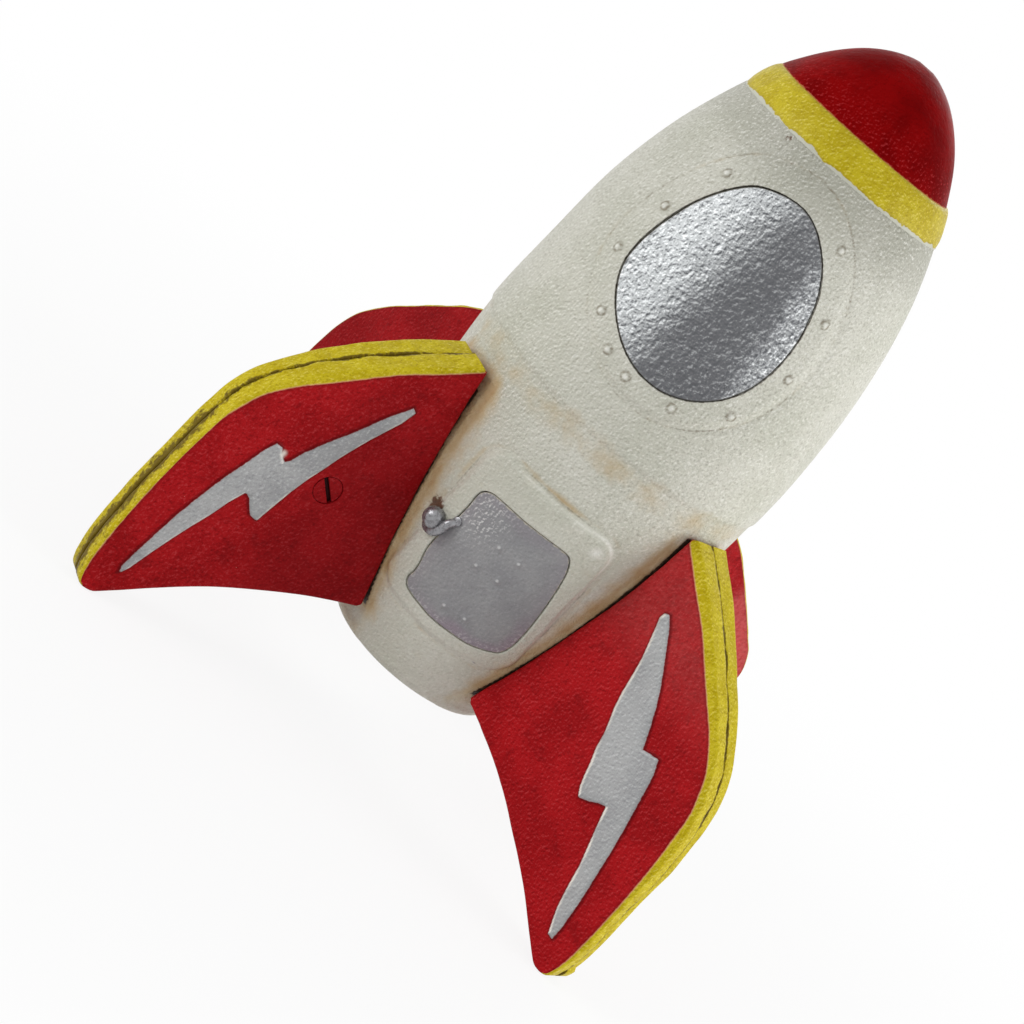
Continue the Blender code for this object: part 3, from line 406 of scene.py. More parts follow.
class Paint:
    """A Principled material with short-hands for the nodes that vary it."""

    def __init__(self, name, roughness, specular=0.5, metallic=0.0):
        self.material = bpy.data.materials.new(name)
        self.material.use_nodes = True
        self.tree = self.material.node_tree
        self.shader = self.tree.nodes["Principled BSDF"]
        self.set("Roughness", roughness)
        self.set("Metallic", metallic)
        self.set("Specular IOR Level", specular)
        self.place = self.node("TexCoord", {}).outputs["Object"]

    def node(self, kind, inputs, **settings):
        return add_node(self.tree, kind, inputs, **settings)

    def set(self, name, value):
        put(self.tree, self.shader.inputs[name], value)

    def shifted(self, location, scale=(1, 1, 1)):
        inputs = {"Vector": self.place, "Location": location, "Scale": scale}
        return self.node("Mapping", inputs).outputs["Vector"]

    def noise(self, size, seed=0.0, detail=3.0, rough=0.6, stretch=None):
        """Noise whose lumps are about size mm across, centred on 0.5."""
        place = self.place
        if stretch or seed:
            place = self.shifted((seed, seed * 0.7, seed * 0.3), stretch or (1, 1, 1))
        inputs = {"Vector": place, "Scale": 1 / (size * MM), "Detail": detail, "Roughness": rough}
        return self.node("TexNoise", inputs).outputs["Fac"]

    def soft(self, size, seed=0.0):
        """Noise without fine detail."""
        return self.noise(size, seed, 2.0, 0.5)

    def emboss(self, size, gain, seed=5.0):
        """How steeply a noise rises along one slanting direction, about -0.5 to 0.5: drives painted light and
        shade on lumps, as if lit from one side.
        """
        pair = []
        for shift in (0.0, 0.3 * size * MM):
            place = self.shifted((seed + shift, seed * 0.7 - 0.4 * shift, seed * 0.3 - 0.7 * shift))
            inputs = {"Vector": place, "Scale": 1 / (size * MM), "Detail": 2.0}
            pair.append(self.node("TexNoise", inputs).outputs["Fac"])
        return self.times(self.math("SUBTRACT", *pair), gain)

    def math(self, operation, a, b):
        return self.node("Math", {0: a, 1: b}, operation=operation).outputs[0]

    def add(self, a, b):
        return self.math("ADD", a, b)

    def times(self, a, b):
        return self.math("MULTIPLY", a, b)

    def ragged(self, value, noise, gain):
        """A value whose level lines a noise makes ragged."""
        return self.add(value, self.times(self.add(noise, -0.5), gain))

    def span(self, value, low, high, out_low=0.0, out_high=1.0):
        """A smooth step from out_low, where value is low, to out_high."""
        inputs = {"Value": value, "From Min": low, "From Max": high, "To Min": out_low, "To Max": out_high}
        return self.node("MapRange", inputs, interpolation_type="SMOOTHSTEP").outputs["Result"]

    def mix(self, share, a, b):
        return self.node("Mix", {0: share, 6: a, 7: b}, data_type="RGBA").outputs[2]

    def blend(self, share, a, b):
        return self.node("Mix", {0: share, 2: a, 3: b}, data_type="FLOAT").outputs[0]

    def mottle(self, noise, a, b):
        return self.mix(self.span(noise, 0.35, 0.65), srgb(*a), srgb(*b))

    def over(self, colour, value, low, high, *shares):
        """Paints a colour over the base where value runs from low to high, weakened by the shares."""
        amount = self.span(value, low, high)
        for share in shares:
            amount = self.times(amount, share)
        self.base = self.mix(amount, self.base, srgb(*colour))

    def finish(self, *layers):
        """Sets the base colour and the bumps of (height, depth in mm), each on top of the last."""
        self.set("Base Color", self.base)
        below = {}
        for height, depth in layers:
            bump = self.node("Bump", {"Distance": depth * MM, "Height": height, **below})
            below = {"Normal": bump.outputs["Normal"]}
        self.set("Normal", below["Normal"])
        return self.material


def ivory_paint():
    """Cream enamel over sandy cast metal, washed with brown in the hollows, with painted shade toward the top
    and left, painted light and shade on its grain, painted highlights on the hatch frame and rivets and
    painted shade in the gaps.
    """
    p = Paint("ivory_paint", roughness=0.42, specular=0.22)
    grain = p.noise(0.95, rough=0.55)
    fine = p.soft(0.42)
    blotch = p.noise(6, seed=3.1, detail=4.0)
    speck = p.soft(0.9, 1.7)
    grain_light = p.emboss(0.8, 2.6)
    # The painted light and shade on the grain is weaker low on the body.
    sandy = p.span("low", 0.0, 1.0, 1.0, 0.5)
    p.base = p.mottle(p.noise(24, rough=0.5), IVORY_LOW, IVORY_HIGH)
    # Painted shade toward the top and on the left.
    p.over((132, 131, 118), "shade", 0.0, 1.0, 0.42)
    # Painted highlights and painted shade on the grain's lumps.
    p.over((244, 243, 236), grain_light, 0.05, 0.6, 0.55, sandy)
    p.over((136, 131, 114), grain_light, -0.05, -0.6, 0.45, sandy)
    # Painted highlights on the hatch frame's edge and corner and on the rivets.
    p.over((250, 249, 243), "lit", 0.1, 1.0)
    p.over((188, 164, 120), p.ragged("wash", blotch, 1.2), 0.3, 1.1, 0.75)
    p.over((168, 132, 84), p.ragged("wash", blotch, 0.9), 0.85, 1.4, 0.75)
    p.over((122, 112, 92), p.ragged("mark", speck, 0.8), 0.3, 0.9, 0.75)
    p.over((104, 78, 62), p.ragged("grime", speck, 1.5), 0.55, 1.0)
    # Painted shade in the gaps round the window and the door and beside the fins' roots.
    p.over((62, 52, 40), p.ragged("crease", speck, 0.7), 0.4, 0.9)
    p.set("Roughness", p.span(grain, 0.3, 0.7, 0.36, 0.56))
    return p.finish((p.soft(9, 9.0), 0.25), (grain, 0.5), (fine, 0.1))


def fin_enamel():
    """Fin enamel: red face, yellow edge, silver bolt, with the lines between them from distances, and painted
    light on top: shade and sheen by fin, light and shade on the lumps, shade beside the paint line, round the
    bolt and in the screw's slot, and a highlight along the bolt's edge.
    """
    p = Paint("fin_enamel", roughness=0.4, specular=0.06)
    ragged = p.noise(1.1, seed=2.0)
    broad = p.noise(14, rough=0.55)
    grain = p.noise(1.2)
    fine = p.soft(0.45)
    blotch = p.noise(4, seed=5.0, detail=4.0)
    grain_light = p.emboss(0.85, 2.6)

    p.base = p.mottle(broad, RED_DEEP, RED_BRIGHT)
    # Painted highlights and painted shade on the lumps of the red.
    p.over((214, 84, 88), grain_light, 0.05, 0.6, 0.30)
    p.over((92, 2, 6), grain_light, -0.05, -0.6, 0.5)
    p.over((116, 6, 12), blotch, 0.45, 0.3, 0.4)
    # Painted shade where a fin gets less light, painted sheen where light glances on it.
    p.over((92, 2, 6), "tone", 0.0, -1.0)
    p.over((212, 108, 106), "tone", 0.0, 1.0, p.span(grain, 0.2, 0.8, 0.3, 1.0))
    p.over((214, 176, 160), p.noise(1.5, seed=8.0, detail=1.0, rough=0.4), 0.85, 0.87)

    red, p.base = p.base, p.mottle(blotch, YELLOW_DEEP, YELLOW_BRIGHT)
    # Painted highlights and painted shade on the lumps of the yellow.
    p.over((236, 222, 110), grain_light, 0.05, 0.6, 0.5)
    p.over((138, 112, 16), grain_light, -0.05, -0.6, 0.5)
    smear = p.ragged(p.times(p.add(blotch, -0.5), 2.0), grain, 1.4)
    p.over((82, 60, 24), p.add("seam", smear), 0.5, 1.05, 0.85)

    yellow, p.base = p.base, p.mottle(broad, SILVER_LOW, SILVER_HIGH)
    # Painted highlights and painted shade on the lumps of the bolt, and painted shade on the bolt of a shaded
    # fin.
    p.over((214, 216, 216), grain_light, 0.05, 0.6, 0.45)
    p.over((112, 112, 114), grain_light, -0.05, -0.6, 0.35)
    p.over((104, 104, 105), "tone", 0.0, -1.0)

    silver = p.base
    edge = p.ragged("line", ragged, 0.45)
    ragged_bolt = p.ragged("bolt", ragged, 0.3)
    on_bolt = p.span(ragged_bolt, -0.12, 0.08)
    p.base = p.mix(p.span(edge, -0.12, 0.12), yellow, red)
    # Painted shade along the red side of the paint line.
    p.over((70, 4, 8), edge, 1.1, 0.35, p.span(edge, 0.1, 0.35), 0.3)
    p.over((222, 170, 128), edge, -0.30, -0.05, p.span(edge, 0.30, 0.12), 0.5)
    # Painted shade just outside the raised bolt's edge.
    p.over((66, 4, 8), ragged_bolt, -1.0, -0.15, p.math("SUBTRACT", 1.0, on_bolt), 0.6)
    p.base = p.mix(on_bolt, p.base, silver)
    # Painted highlight along one edge of the bolt.
    p.over((240, 236, 226), "lit", 0.1, 0.6)
    # Painted shade, near black, in the screw's slot.
    p.over((46, 10, 12), "seam", 1.6, 1.9)
    p.set("Metallic", p.times(on_bolt, 0.3))
    p.set("Roughness", p.blend(on_bolt, p.span(grain, 0.3, 0.7, 0.34, 0.5), 0.45))
    return p.finish((p.soft(7, 4.0), 0.30), (grain, 0.18), (fine, 0.05))


def red_nose():
    """Deep red enamel, with painted highlights on its grain only near the collar and painted shade on its
    grain all over, and a worn lower edge.
    """
    p = Paint("nose_red", roughness=0.4, specular=0.012)
    grain = p.noise(1.3)
    grain_light = p.emboss(0.9, 2.6)
    p.base = p.mottle(p.noise(12, rough=0.55), (114, 3, 5), (138, 6, 8))
    # Painted highlights and painted shade on the lumps.
    p.over((206, 70, 74), grain_light, 0.1, 0.6, 0.4, p.span("line", 13.0, 1.0))
    p.over((84, 1, 4), grain_light, -0.05, -0.6, 0.35)
    p.over((206, 150, 90), p.ragged("line", p.noise(1.3, seed=2.0), 0.8), 0.4, 0.1, 0.6)
    return p.finish((p.soft(6, 4.0), 0.3), (grain, 0.12))


def yellow_collar():
    """Yellow enamel whose lower edge was brushed by hand over the ivory."""
    p = Paint("collar_yellow", roughness=0.42, specular=0.16)
    grain = p.noise(1.1)
    grain_light = p.emboss(0.85, 2.6)
    level = p.ragged("level", p.noise(4.2, seed=6.0, rough=0.55), 3.2)
    p.base = p.mottle(p.noise(5, seed=5.0, detail=4.0), (184, 164, 15), (198, 180, 32))
    # Painted highlights and painted shade on the lumps.
    p.over((240, 228, 120), grain_light, 0.05, 0.6, 0.5)
    p.over((146, 122, 14), grain_light, -0.05, -0.6, 0.5)
    p.over((150, 128, 40), level, 1.1, 0.5, 0.35)
    p.over(IVORY_LOW, level, 0.45, 0.25)
    dents = p.soft(6, 4.0)
    return p.finish((dents, 0.25), (grain, 0.26), (p.soft(0.5), 0.05))


def silver_window():
    """Silver paint on the hammered dome, with a painted reflection that is bright toward both sides and
    darker along the middle, painted highlights and shade on its lumps and painted shade at its rim.
    """
    p = Paint("window_silver", roughness=0.5, specular=0.25, metallic=0.5)
    grain = p.noise(0.95)
    grain_light = p.emboss(0.8, 2.8)
    coarse = p.emboss(1.5, 2.8, seed=8.0)
    # sheen weights a painted reflection; crisp adds the painted light and shade of the lumps to it, and lumps
    # is that painted light alone.
    sheen = p.ragged("sheen", p.noise(7, seed=6.0, rough=0.55), 0.55)
    crisp = p.add(sheen, p.times(p.add(grain_light, p.times(coarse, 0.6)), 0.45))
    lumps = p.add(grain_light, p.times(coarse, 0.8))
    p.base = p.mix(p.span(crisp, 0.0, 1.2), srgb(104, 105, 108), srgb(186, 189, 190))
    # Painted highlights and painted shade on the lumps, strongest where the painted reflection is bright.
    p.over((246, 248, 249), lumps, 0.15, 0.65, p.span(sheen, 0.15, 0.8, 0.22, 1.0), 0.7)
    p.over((76, 78, 82), lumps, -0.1, -0.65, p.span(sheen, 0.1, 0.8, 0.5, 1.0), 0.75)
    p.over((66, 67, 70), p.soft(1.1, 9.0), 0.34, 0.26, 0.6)
    # Painted shade at the window's rim.
    p.over((86, 82, 72), "crease", 0.3, 0.9)
    p.set("Roughness", p.span(grain, 0.3, 0.7, 0.42, 0.6))
    dents = p.soft(8, 4.0)
    return p.finish((dents, 0.3), (p.noise(1.7, seed=2.5), 0.35), (grain, 0.2))


def grey_door():
    """Grey enamel, pinkish along its edge, worn bare at one corner and chipped round the border, with painted
    highlights on its bumps and painted light and shade on its lumps.
    """
    p = Paint("door_grey", roughness=0.46, specular=0.3)
    broad = p.noise(11, rough=0.55)
    grain = p.noise(0.9)
    scratch = p.noise(1.0, seed=2.0, stretch=(1.0, 1.0, 3.0))
    grain_light = p.emboss(0.9, 2.8)
    bare = p.span("worn", 0.0, 1.0, 0.12, 1.0)
    p.base = p.mottle(broad, (138, 138, 140), (148, 148, 149))
    p.over((146, 132, 143), p.ragged("border", broad, 7.0), 4.5, 0.5, 0.8, "tint")
    # Light where the paint is worn, and painted highlights on the lumps everywhere.
    p.over((205, 204, 203), p.add(grain_light, p.add(scratch, -0.5)), 0.1, 0.5, bare)
    # Painted shade on the lumps.
    p.over((96, 95, 98), grain_light, -0.1, -0.6, 0.25)
    # Painted highlights on the cast bumps.
    p.over((196, 196, 196), "fleck", 0.35, 0.9)
    p.over((108, 107, 110), p.soft(2.2, 11.0), 0.76, 0.80, 0.5)
    p.over((198, 192, 174), p.ragged("border", p.noise(1.1, seed=7.0), 1.4), 0.5, 0.1, 0.8)
    p.set("Roughness", p.span(grain, 0.3, 0.7, 0.38, 0.55))
    return p.finish((p.soft(5, 4.0), 0.22), (grain, 0.08))


def bright_handle():
    """Polished silver, with painted shade, dull and brown, on the side turned away from the light."""
    p = Paint("handle_silver", roughness=0.3, metallic=0.65)
    grain = p.noise(1.1)
    p.base = p.mottle(grain, (122, 121, 124), (150, 150, 153))
    # Painted shade on the side turned away from the light.
    p.over((70, 58, 56), "under", 0.2, 0.95)
    p.set("Roughness", p.span(grain, 0.3, 0.7, 0.22, 0.36))
    return p.finish((grain, 0.08))


def plain_steel():
    """Turned steel with a few brown stains, for the rod and the pins inside."""
    p = Paint("turned_steel", roughness=0.35, metallic=1.0)
    grain = p.noise(0.6, stretch=(1.0, 1.0, 6.0))
    p.base = p.mottle(grain, (150, 150, 150), (182, 181, 178))
    p.over((110, 88, 66), p.noise(3.0, seed=3.0), 0.55, 0.75, 0.6)
    p.set("Roughness", p.span(grain, 0.3, 0.7, 0.3, 0.45))
    return p.finish((grain, 0.03))


IVORY = ivory_paint()
FIN_PAINT = fin_enamel()
STEEL = plain_steel()

# ---- Fuselage ----

EGG = ring([
    (-10.4, 25.8), (-6.1, 27.9), (-1.9, 29.0), (2.5, 29.1), (6.9, 27.6), (11.0, 24.8), (15.0, 20.8),
    (18.2, 15.9), (20.4, 10.1), (21.7, 4.5), (22.2, -1.2), (21.8, -6.9), (20.2, -12.8), (17.0, -18.1),
    (12.4, -22.3), (6.8, -24.9), (0.8, -25.6), (-5.0, -24.7), (-10.7, -22.2), (-16.1, -18.2),
    (-20.0, -13.8), (-22.3, -9.0), (-22.8, -3.6), (-22.0, 2.9), (-20.3, 9.6), (-17.8, 15.8), (-14.3, 21.6),
])
DOOR = ring([
    (-15.4, 16.4), (-13.2, 18.8), (-9.2, 19.6), (-2.5, 19.9), (4.3, 20.2), (10.3, 20.0), (12.5, 18.8),
    (14.0, 15.8), (15.0, 11.5), (15.8, 7.0), (16.5, 1.8), (17.0, -3.7), (17.2, -8.6), (17.0, -12.5),
    (15.9, -15.6), (13.2, -17.1), (8.6, -18.4), (3.3, -18.8), (-3.3, -19.2), (-7.3, -18.9), (-11.6, -18.5),
    (-13.8, -17.7), (-14.8, -15.6), (-14.6, -13.0), (-15.0, -10.0), (-15.9, -6.4), (-16.2, -2.6),
    (-16.1, 0.5), (-15.6, 5.8), (-15.4, 11.1),
])
DOOR_FRAME = rounded_box(-21.0, 21.0, -23.2, 29.2, 6.5)
# Dirt spots on the front: angle in degrees, height, size and strength.
STAINS = (
    (-31.8, 68.0, 3.0, 1.7), (-28.0, 195.0, 2.2, 0.75), (-18.6, 189.3, 2.5, 0.4), (-8.7, 191.1, 2.0, 0.4),
    (57, 116.5, 5.0, 0.3),
)
RIVETS = (
    (-33, 179.2), (-39.9, 163.5), (-41.2, 148.6), (-29.4, 135.1), (-19.3, 129.6), (-9.7, 127.8),
    (7, 129.3), (23, 136.7), (30.7, 152), (29.4, 167.7), (18.1, 183.5),
)


def window_place(turn, z):
    """Coordinates across and up from the window's centre."""
    return shell(z) * np.sin(turn - WINDOW_TURN), z - WINDOW_Z


def door_place(turn, z):
    """Coordinates across and up the sloping plane of the hatch, from its middle."""
    x, y, z = np.moveaxis(wrap(shell(z), turn, z), -1, 0)
    up = -(y + float(shell(HATCH_Z))) * math.sin(HATCH_SLOPE) + (z - HATCH_Z) * math.cos(HATCH_SLOPE)
    return x, up


def surroundings(turn, z):
    """Where a spot on the shell lies: whether it is in front and whether by the hatch, how far outside
    the window and inside the hatch's frame, and its place on the hatch's plane."""
    front = np.cos(turn) > 0
    by_hatch = front & (z < HATCH_TOP)
    dx, dz = door_place(turn, z)
    window = np.where(front, -to_outline(*window_place(turn, z), EGG), FAR)
    in_frame = np.where(by_hatch, to_outline(dx, dz, DOOR_FRAME), -FAR)
    return front, by_hatch, window, in_frame, dx, dz


def away(turn, z, angle, level):
    """Squared distance from the spot at an angle in degrees and a height."""
    return ((turn - math.radians(angle)) * ROUND_R) ** 2 + (z - level) ** 2


def fin_gap(turn, z):
    """Distance from the nearest fin's seam plane, measured round the shell."""
    gaps = []
    for angle in FIN_ANGLES.values():
        off = turn - (angle + math.pi / 2)
        gaps.append(np.abs(np.arctan2(np.sin(off), np.cos(off))) * shell(z))
    return np.minimum.reduce(gaps)


def root_half(z):
    """Half thickness of a fin where it meets the shell."""
    return FIN_ROOT_HALF + (44.5 - shell(z)) * 0.069


def relief(turn, z):
    """Height of the casting above the plain shell of revolution."""
    p = wrap(shell(z), turn, z)
    front, _, window, in_frame, _, _ = surroundings(turn, z)
    belt = BELT_Z + 0.5 * wobble(p, 30, 12)
    height = 0.16 * wobble(p, 26, 11) - BELT_STEP * smooth((belt + 0.9 - z) / 1.8)
    height += 0.6 * smooth((7.2 + 0.35 * wobble(p, 14, 13) - window) / 2.2) * front
    height -= 1.1 * bell((z - 134) / 17) * smooth(-np.sin(turn) * 2.2 - 1.1)
    height -= 0.22 * bell((window - RING_LINE) / 0.9) * front
    for angle, level in RIVETS:
        height += 0.75 * np.exp(-away(turn, z, angle, level) / 0.8) * front
    height += 1.15 * smooth((in_frame + 0.3 + 0.4 * wobble(p, 12, 14)) / 1.7)
    height -= 0.25 * bell((in_frame + 1.0) / 0.8)
    pad = smooth((root_half(z) + 1.2 - fin_gap(turn, z)) / 1.2) * smooth((105.5 - z) / 1.2)
    return height + 0.25 * pad


def column_turn(c, z):
    """Angle of a grid column: constant x over the hatch, constant angle higher up."""
    r = shell(np.clip(z, SHELL_LOW, 92.0))
    inner = np.arcsin(np.clip(np.abs(c), 0, FINE_HALF) / r)
    edge = np.arcsin(FINE_HALF / r)
    outer = edge + (math.pi / 2 - edge) * (np.abs(c) - FINE_HALF) / COARSE_SPAN
    return np.sign(c) * np.where(np.abs(c) <= FINE_HALF, inner, outer)


def skin_place(turn, v, drop):
    """A point on the shell, or that far inside it. v is height, carried round the bottom rim."""
    arc = np.clip((HEEL - v) / HEEL_R, 0, math.pi / 2)
    under = np.clip(HEEL - v - HEEL_R * math.pi / 2, 0, 3)
    z = np.maximum(v, HEEL)
    thick = drop * (0.5 + 0.5 * smooth((v - 26) / 8))
    r = shell(z) + relief(turn, z) - HEEL_R * (1 - np.cos(arc)) - under - thick * np.cos(arc)
    return wrap(r, turn, z - HEEL_R * np.sin(arc) + thick * np.sin(arc))


def skin_weights(turn, z, drop):
    """Weights of the ivory paint's wash, dirt and marks, of painted shade in the gaps and toward the top and
    left, and of painted highlights.
    """
    p = wrap(ROUND_R, turn, z)
    front, by_hatch, window, in_frame, dx, dz = surroundings(turn, z)
    gap = fin_gap(turn, z)
    from_line = np.abs(window - RING_LINE)
    streak = 0.75 + 0.35 * wobble(p, 16, 22)
    wash = np.maximum.reduce([
        1.15 * fade(gap - 10.8, 4.4) * smooth((110 - z) / 10),
        0.75 * bell((z - 108.5) / 5.5) * (0.75 + 0.25 * wobble(p, 30, 21)),
        0.30 * smooth((60 - z) / 40),
        fade(np.abs(in_frame + 1.3), 1.1) * by_hatch * streak,
        0.22 * smooth((in_frame + 8) / 8) * by_hatch,
        0.45 * fade(from_line, 1.0),
    ])
    # Painted highlights: the hatch frame's edge on its side toward the light, a spot at its upper corner, and
    # the rivets' tops.
    facing = smooth((dx + 0.9 * dz - 4) / 8) * (0.65 + 0.3 * wobble(p, 9, 23))
    lit = np.clip(0.8 * fade(np.abs(in_frame - 0.5), 0.6) * by_hatch * facing, 0, 1)
    lit = np.maximum(lit, 0.6 * bell((dx - 15.9) / 2.2, (dz - 24.6) / 2.2) * by_hatch)
    mark = 0.85 * fade(from_line, 0.4) * front * streak
    mark = np.maximum(mark, 0.9 * fade(np.abs(in_frame + 0.5), 0.4) * by_hatch * streak)
    for angle, level in RIVETS:
        spot = away(turn, z, angle, level)
        mark = np.maximum(mark, 0.95 * fade(np.abs(np.sqrt(spot) - 1.15), 0.5) * front)
        lit = np.maximum(lit, 0.75 * np.exp(-spot / 0.6) * front)
    grime = 0.28 * fade(from_line, 1.4) + 0.12 * smooth((115 - z) / 6)
    grime = grime + 0.22 * bell((dx + 4) / 9, (z - 101) / 6) * front
    for angle, level, size, dirt in STAINS:
        grime = grime + dirt * np.exp(-away(turn, z, angle, level) / size**2) * front
    door = np.where(by_hatch, -to_outline(dx, dz, DOOR), FAR)
    close = (turn > 0) & front
    beside = smooth((np.where(close, 105.2, 98.5) - z) / 1.2) * smooth(z - 31.8)
    inset = 0.7 + 1.5 * smooth((z - 66) / 24) * ~close
    # Painted shade in the gaps round the window and the door and beside the fins' roots.
    crease = np.maximum.reduce([
        0.75 * fade(window - 0.1, 0.25) * front,
        0.5 * fade(door - 0.1, 0.2),
        0.9 * fade(gap - root_half(z) + inset, 0.35) * beside,
    ])
    left = smooth((0.1 - np.sin(turn)) / 0.9)
    inside = drop > 0.6
    return {
        "wash": np.where(inside, 0.3, wash * (0.5 + 0.5 * smooth((z - 26) / 10))),
        "grime": grime,
        "crease": np.where(inside, 0.0, crease),
        "lit": lit,
        "mark": np.where(inside, 0.95, mark),
        # Painted shade toward the top and on the left.
        "shade": np.maximum(smooth((z - 172) / 26), 0.35 * left) * np.where(front, 1.0, 0.5),
        "low": smooth((104 - z) / 24),
    }


def skin_fillet(u, v):
    """Rounding of the shell's edges: almost none under the collar and round the window."""
    return np.where(v > 190, NECK_FILLET, np.where(v > BELLY_Z, DOME_FILLET, BODY_FILLET))


def fin_web(angle):
    """A short cast web that runs from the shell in between the halves of a fin."""
    levels = np.linspace(45.0, 75.0, 11)
    rows, faces = [], []
    for z in levels:
        r = float(shell(z)) - BELT_STEP
        rows += [(r - 1.5, 2.0, z), (r + 3.4, 1.9, z), (r + 3.4, -1.9, z), (r - 1.5, -2.0, z)]
    for i in range(len(levels) - 1):
        for k in range(4):
            a, b = 4 * i + k, 4 * i + (k + 1) % 4
            faces.append([b, a, a + 4, b + 4])
    last = len(rows) - 1
    faces += [[0, 1, 2, 3], [last, last - 1, last - 2, last - 3]]
    return swing(*np.array(rows).T, angle), faces


def build_shell_half(name, node, middle, us, vs, turn_of, opening, fins):
    """Half of the fuselage. turn_of gives a grid point's angle from the half's middle."""
    half = math.pi / 2 - SEAM / BELLY_R

    def field(u, v):
        turn = turn_of(u, v)
        f = np.minimum(v - SHEET_LOW, SHEET_HIGH - v)
        f = np.minimum(f, (half - np.abs(turn)) * ROUND_R - skin_fillet(u, v))
        return np.minimum(f, opening(turn, v))

    def place(u, v, drop):
        return skin_place(middle + turn_of(u, v), v, drop)

    points, faces, t = solid_sheet(us, vs, field, place, SHELL_WALL, skin_fillet)
    weights = skin_weights(middle + turn_of(t[:, 0], t[:, 1]), t[:, 1], t[:, 2])
    webs = [fin_web(FIN_ANGLES[fin]) for fin in fins]
    spare = np.ones(sum(len(p) for p, _ in webs))
    weights = {key: np.append(values, spare) for key, values in weights.items()}
    piece(name, node, *joined((points, faces), *webs), IVORY, "ivory_paint", **weights)


def front_opening(turn, z):
    """Distance outside the openings of the window and the hatch."""
    window = -to_outline(*window_place(turn, z), EGG) - WINDOW_GAP - DOME_FILLET
    hatch = -to_outline(*door_place(turn, z), DOOR) - HATCH_GAP - BODY_FILLET
    return np.minimum(window, np.where(z < HATCH_TOP, hatch, FAR))


def shell_rows(heel_step, step):
    return np.concatenate([np.arange(17.6, 26.0, heel_step), np.arange(26.0, 198.4, step)])


# The front's grid is fine across the window and the hatch, and coarser round the sides.
FINE_HALF, COARSE_SPAN = 24.0, 45.0
SIDE_COLUMNS = np.arange(24.6, 70.4, 0.75)
FRONT_COLUMNS = np.concatenate([-SIDE_COLUMNS[::-1], np.arange(-FINE_HALF, 24.01, 0.48), SIDE_COLUMNS])
build_shell_half(
    "shell_front", "body_front", 0.0, FRONT_COLUMNS, shell_rows(0.6, 0.5), column_turn, front_opening,
    ("front_left", "front_right"),
)
build_shell_half(
    "shell_rear", "body_rear", math.pi, np.arange(-72.6, 72.61, 1.15), shell_rows(0.9, 1.0),
    lambda u, v: u / ROUND_R, lambda turn, z: FAR, ("rear_left", "rear_right"),
)

# ---- Window ----


def build_window():
    def field(u, v):
        return to_outline(u, v, EGG) - 0.1 - 0.3

    def place(u, v, drop):
        z = v + WINDOW_Z
        p = flat(u, v)
        bulge = 0.6 * smooth(to_outline(u, v, EGG) / 9.0) + 0.42
        r = shell(z) + bulge + 0.16 * wobble(p, 9, 31) + 0.07 * wobble(p, 3.2, 32) - drop
        return wrap(r, turn_at(u, shell(z)) + WINDOW_TURN, z)

    us, vs = np.arange(-24, 24.01, 0.45), np.arange(-27, 31.01, 0.45)
    points, faces, t = solid_sheet(us, vs, field, place, WINDOW_WALL, 0.3)
    across, up, drop = t.T
    # Painted shade round the window's edge, more on the left, and over its sides.
    crease = (0.6 + 0.3 * smooth((4 - across) / 16)) * fade(to_outline(across, up, EGG) - 0.3, 0.25)
    # Painted reflection: bright toward both sides, darker along the middle, a little brighter at the top.
    sheen = 0.95 * smooth((4.0 - across + 0.10 * up) / 17) + 0.5 * smooth((across - 12.0 + 0.12 * up) / 8)
    piece(
        "window", "window_dome", points, faces, silver_window(), "silver_paint",
        crease=np.where(drop > 0.5, 1.0, crease), sheen=0.10 + sheen + 0.12 * smooth((up - 12) / 16),
    )


build_window()

# ---- Hatch ----

DOOR_RISE = 0.9 - BELT_STEP
DOOR_BUMPS = ((-2.7, 73.1), (3.6, 73.1), (-4, 65.2), (2.5, 65.7), (-3.1, 50.5), (3, 51.3))


def door_surface(x, z, drop):
    """A point on the door's face over the shell at x and z, or that far below it."""
    height = DOOR_RISE + 0.12 * wobble(flat(x, z), 11, 41)
    for bx, bz in DOOR_BUMPS:
        height = height + 0.6 * np.exp(-((x - bx) ** 2 + (z - bz) ** 2) / 0.8)
        height = height - 0.2 * np.exp(-((x - bx - 0.9) ** 2 + (z - bz + 0.9) ** 2) / 1.2)
    return wrap(shell(z) + height - drop, turn_at(x, shell(z)), z)


def to_door(x, z):
    return to_outline(*door_place(turn_at(x, shell(z)), z), DOOR)


def build_door():
    us, vs = np.arange(-17, 17.01, 0.42), np.arange(43, 85.01, 0.42)
    points, faces, t = solid_sheet(
        us, vs, lambda u, v: to_door(u, v) - 0.10 - 0.45, door_surface, LEAF_WALL, 0.45, 0.25
    )
    x, z, _ = t.T
    border = to_door(x, z)
    low_edge = 0.45 * smooth((4.5 - border) / 4) * smooth((70 - z) / 20)
    worn = np.maximum(bell((x + 11) / 6.5, (z - 77) / 7.5), low_edge)
    tint = 0.25 + 0.75 * smooth((x - z * 0.6 + 42) / 16) * smooth((66 - z) / 14)
    # Painted highlights on the cast bumps, set a little toward the light.
    flecks = [np.exp(-((x - bx + 0.15) ** 2 + (z - bz - 0.15) ** 2) / 0.35) for bx, bz in DOOR_BUMPS]
    piece(
        "hatch_leaf", "hatch_door", points, faces, grey_door(), "grey_paint", "hatch",
        border=border, worn=worn, tint=tint, fleck=np.maximum.reduce(flecks),
    )


